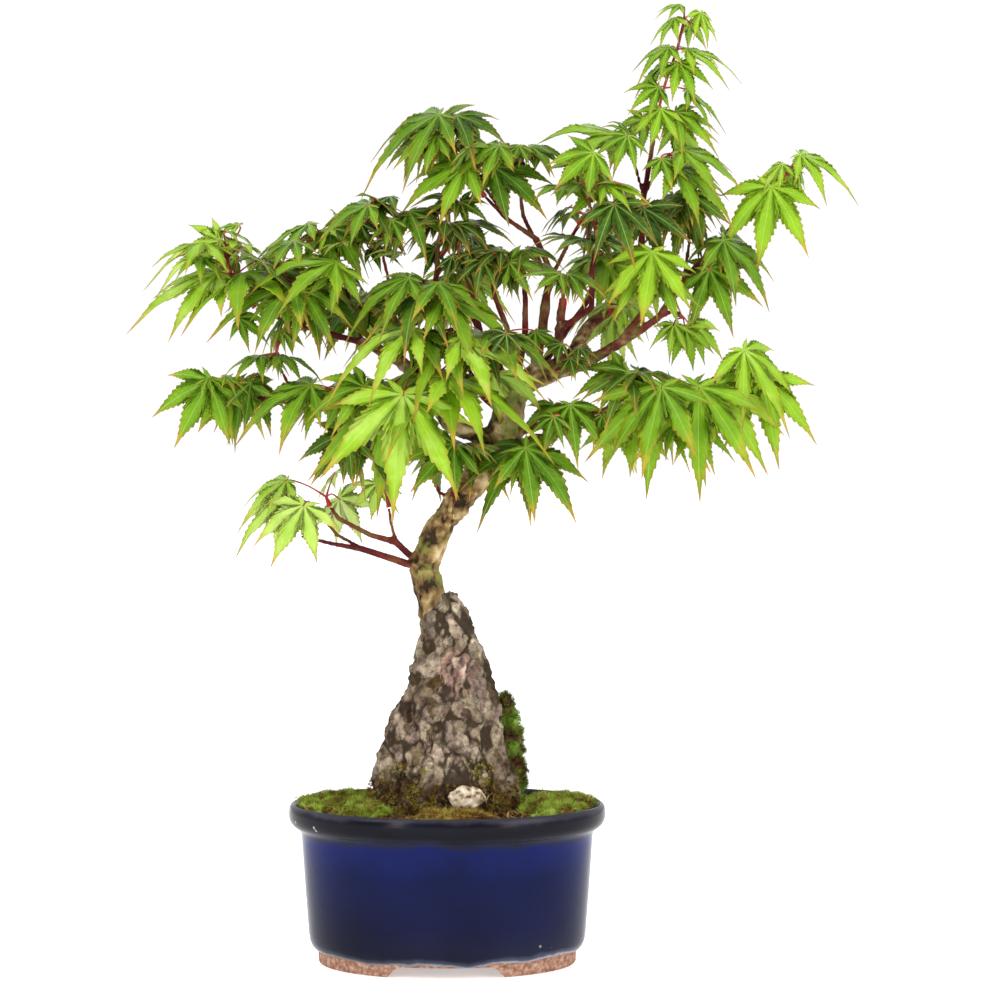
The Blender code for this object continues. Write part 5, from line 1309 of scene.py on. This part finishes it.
class BONSAI_OT_ground(bpy.types.Operator):
    """Lay the soil, its crumbs and litter, and the moss"""

    bl_idname = "bonsai.ground"
    bl_label = "Ground"

    def execute(self, context):
        _, ground = settings()
        soil = bonsai_soil()
        dress("soil", soil)
        bits = {
            "stem": link("stem", moss_stem()), "straw": link("straw", litter_bit(0.009, 0.00028)),
            "crumb": link("crumb", crumb())}
        surface = merged_copy("soil")
        straw = dry_straw()
        crumbs = scatter("crumbs", surface, bits["crumb"], 22, (0.5, 1.3), 0.8, 3)
        finish_piece(link("soil_crumbs", crumbs, soil), "soil")
        blades = scatter("litter", surface, bits["straw"], 14, (0.4, 1.1), 0.8, 5)
        finish_piece(link("soil_litter", blades, straw), "soil")
        pile = moss_pile("cushion_moss", (0.42, "#4E3108"), (0.54, "#6A5614"), (0.68, "#71891F"),
                         (0.88, "#A4B84A"))
        dull = moss_pile("dry_cushion_moss", (0.42, "#2C1A05"), (0.56, "#6B4714"), (0.7, "#8A6E26"),
                         (0.9, "#A39A45"))
        # The mound's moss is a darker copy of the cushion moss: painted shade
        shaded_moss = moss_pile("shaded_cushion_moss", (0.42, "#38230A"), (0.54, "#553A10"), (0.66, "#4A6413"),
                          (0.9, "#88A43A"))
        for index, name in enumerate(("left", "right", "front", "back", "mound")):
            node = f"moss_{name}"
            material = {"left": pile, "right": pile, "mound": shaded_moss}.get(name, dull)
            base = uneven(remeshed(merged_copy(node), 0.0011, 3), 0.0034 if name == "mound" else 0.0024)
            stems = scatter(node, base, bits["stem"], ground.moss_density / (1),
                            (0.55, 1.15), -0.1 if name == "mound" else 0.25, 10 + index)
            store(base, "tone", np.full(len(base.vertices), 0.25))
            base.shade_smooth()
            cushion = join([link("base", base, material), link("stems", stems, material)], f"{node}_pile")
            finish_piece(cushion, "moss", node)
            if name != "mound":
                strewn = scatter(f"{node}_straw", base, bits["straw"], 12 if name in ("front", "back") else 5,
                                 (0.3, 1.0), 0.6, 40 + index)
                if len(strewn.vertices):
                    finish_piece(link(f"litter_{name}", strewn, straw), "moss")
        foot = merged_copy("rock")
        creep = scatter("creeping_moss", foot, bits["stem"], 60, (0.4, 1.0), -0.4, 61, FOOT.z + 0.093)
        finish_piece(link("creeping_moss", creep, dull), "moss")
        caught = scatter("caught_litter", foot, bits["straw"], 7, (0.3, 0.8), -0.4, 62, FOOT.z + 0.088)
        finish_piece(link("caught_litter", caught, straw), "moss")
        for bit in bits.values():
            bpy.data.objects.remove(bit, do_unlink=True)
        return {"FINISHED"}


class BONSAI_OT_stage(bpy.types.Operator):
    """Set the pale floor, the soft lights and the camera"""

    bl_idname = "bonsai.stage"
    bl_label = "Stage"

    def execute(self, context):
        bm = bmesh.new()
        bmesh.ops.create_grid(bm, x_segments=1, y_segments=1, size=6)
        bmesh.ops.translate(bm, vec=(0, 0, -0.0002), verts=bm.verts)
        pale = new_material("lit_opal_acrylic", Base_Color=linear("#FBFBFB"), Roughness=0.9,
                            Specular_IOR_Level=0.0, Emission_Color=(1, 1, 1, 1), Emission_Strength=0.4)[0]
        floor = link("floor", mesh_of(bm, "floor"), pale)
        world = bpy.data.worlds.new("studio")
        world.use_nodes = True
        # The studio is white behind the plant and dim behind the camera
        nodes = world.node_tree
        way = add(nodes, "ShaderNodeTexCoord").outputs["Generated"]
        depth = add(nodes, "ShaderNodeSeparateXYZ", {"Vector": way}).outputs["Y"]
        level = add(nodes, "ShaderNodeMapRange", {"Value": depth, "From Min": -0.85, "From Max": -0.2,
                                                  "To Min": 0.3, "To Max": 1.05}, clamp=True)
        nodes.links.new(level.outputs[0], nodes.nodes["Background"].inputs["Strength"])
        nodes.nodes["Background"].inputs["Color"].default_value = (1, 1, 1, 1)
        bpy.context.scene.world = world
        # Each lamp's place and size in metres, and its power in watts
        for name, where, size, power in (
                ("key", (-1.5, -1.6, 1.9), (1.2, 1.6), 29),
                ("fill", (1.7, -1.2, 1.2), (1.0, 1.6), 18),
                ("back", (0.3, 2.0, 1.7), (2.0, 1.4), 16),
                ("left_strip", (-1.0, -1.75, 0.35), (0.22, 1.5), 12),
                ("right_strip", (1.2, -1.6, 0.35), (0.26, 1.5), 12)):
            light = bpy.data.lights.new(name, "AREA")
            light.shape = "RECTANGLE"
            light.size, light.size_y = size
            light.energy = power
            lamp = link(name, light)
            lamp.location = where
            aim = Vector((0, 0, 0.25)) - Vector(where)
            lamp.rotation_euler = aim.to_track_quat("-Z", "Y").to_euler()
        data = bpy.data.cameras.new("camera")
        data.lens = 122.4
        data.sensor_width = 36
        camera = link("camera", data)
        aim = place(26.5, 0, 232)
        camera.location = aim + Vector((0, -1.698, 0.083))
        camera.rotation_euler = (aim - camera.location).to_track_quat("-Z", "Y").to_euler()
        bpy.context.scene.camera = camera
        bpy.context.scene.view_settings.view_transform = "Standard"
        return {"FINISHED"}


class BONSAI_PT_panel(bpy.types.Panel):
    """Builds the bonsai piece by piece"""

    bl_idname = "BONSAI_PT_panel"
    bl_label = "Maple bonsai"
    bl_space_type = "VIEW_3D"
    bl_region_type = "UI"
    bl_category = "Bonsai"

    def draw(self, context):
        for group in (context.scene.bonsai_leaves, context.scene.bonsai_ground):
            for name in group.__annotations__:
                self.layout.prop(group, name)
        for operator in OPERATORS:
            self.layout.operator(operator.bl_idname)


OPERATORS = (
    BONSAI_OT_pot, BONSAI_OT_ground, BONSAI_OT_rock, BONSAI_OT_bark, BONSAI_OT_foliage, BONSAI_OT_stage)
CLASSES = (BonsaiLeafSettings, BonsaiGroundSettings) + OPERATORS + (BONSAI_PT_panel,)


def register():
    for item in CLASSES:
        bpy.utils.register_class(item)
    bpy.types.Scene.bonsai_leaves = bpy.props.PointerProperty(type=BonsaiLeafSettings)
    bpy.types.Scene.bonsai_ground = bpy.props.PointerProperty(type=BonsaiGroundSettings)


def unregister():
    del bpy.types.Scene.bonsai_ground
    del bpy.types.Scene.bonsai_leaves
    for item in reversed(CLASSES):
        bpy.utils.unregister_class(item)


def main():
    register()
    bpy.ops.bonsai.pot()
    bpy.ops.bonsai.ground()
    bpy.ops.bonsai.rock()
    bpy.ops.bonsai.bark()
    bpy.ops.bonsai.foliage()
    bpy.ops.bonsai.stage()


if __name__ == "__main__":
    main()
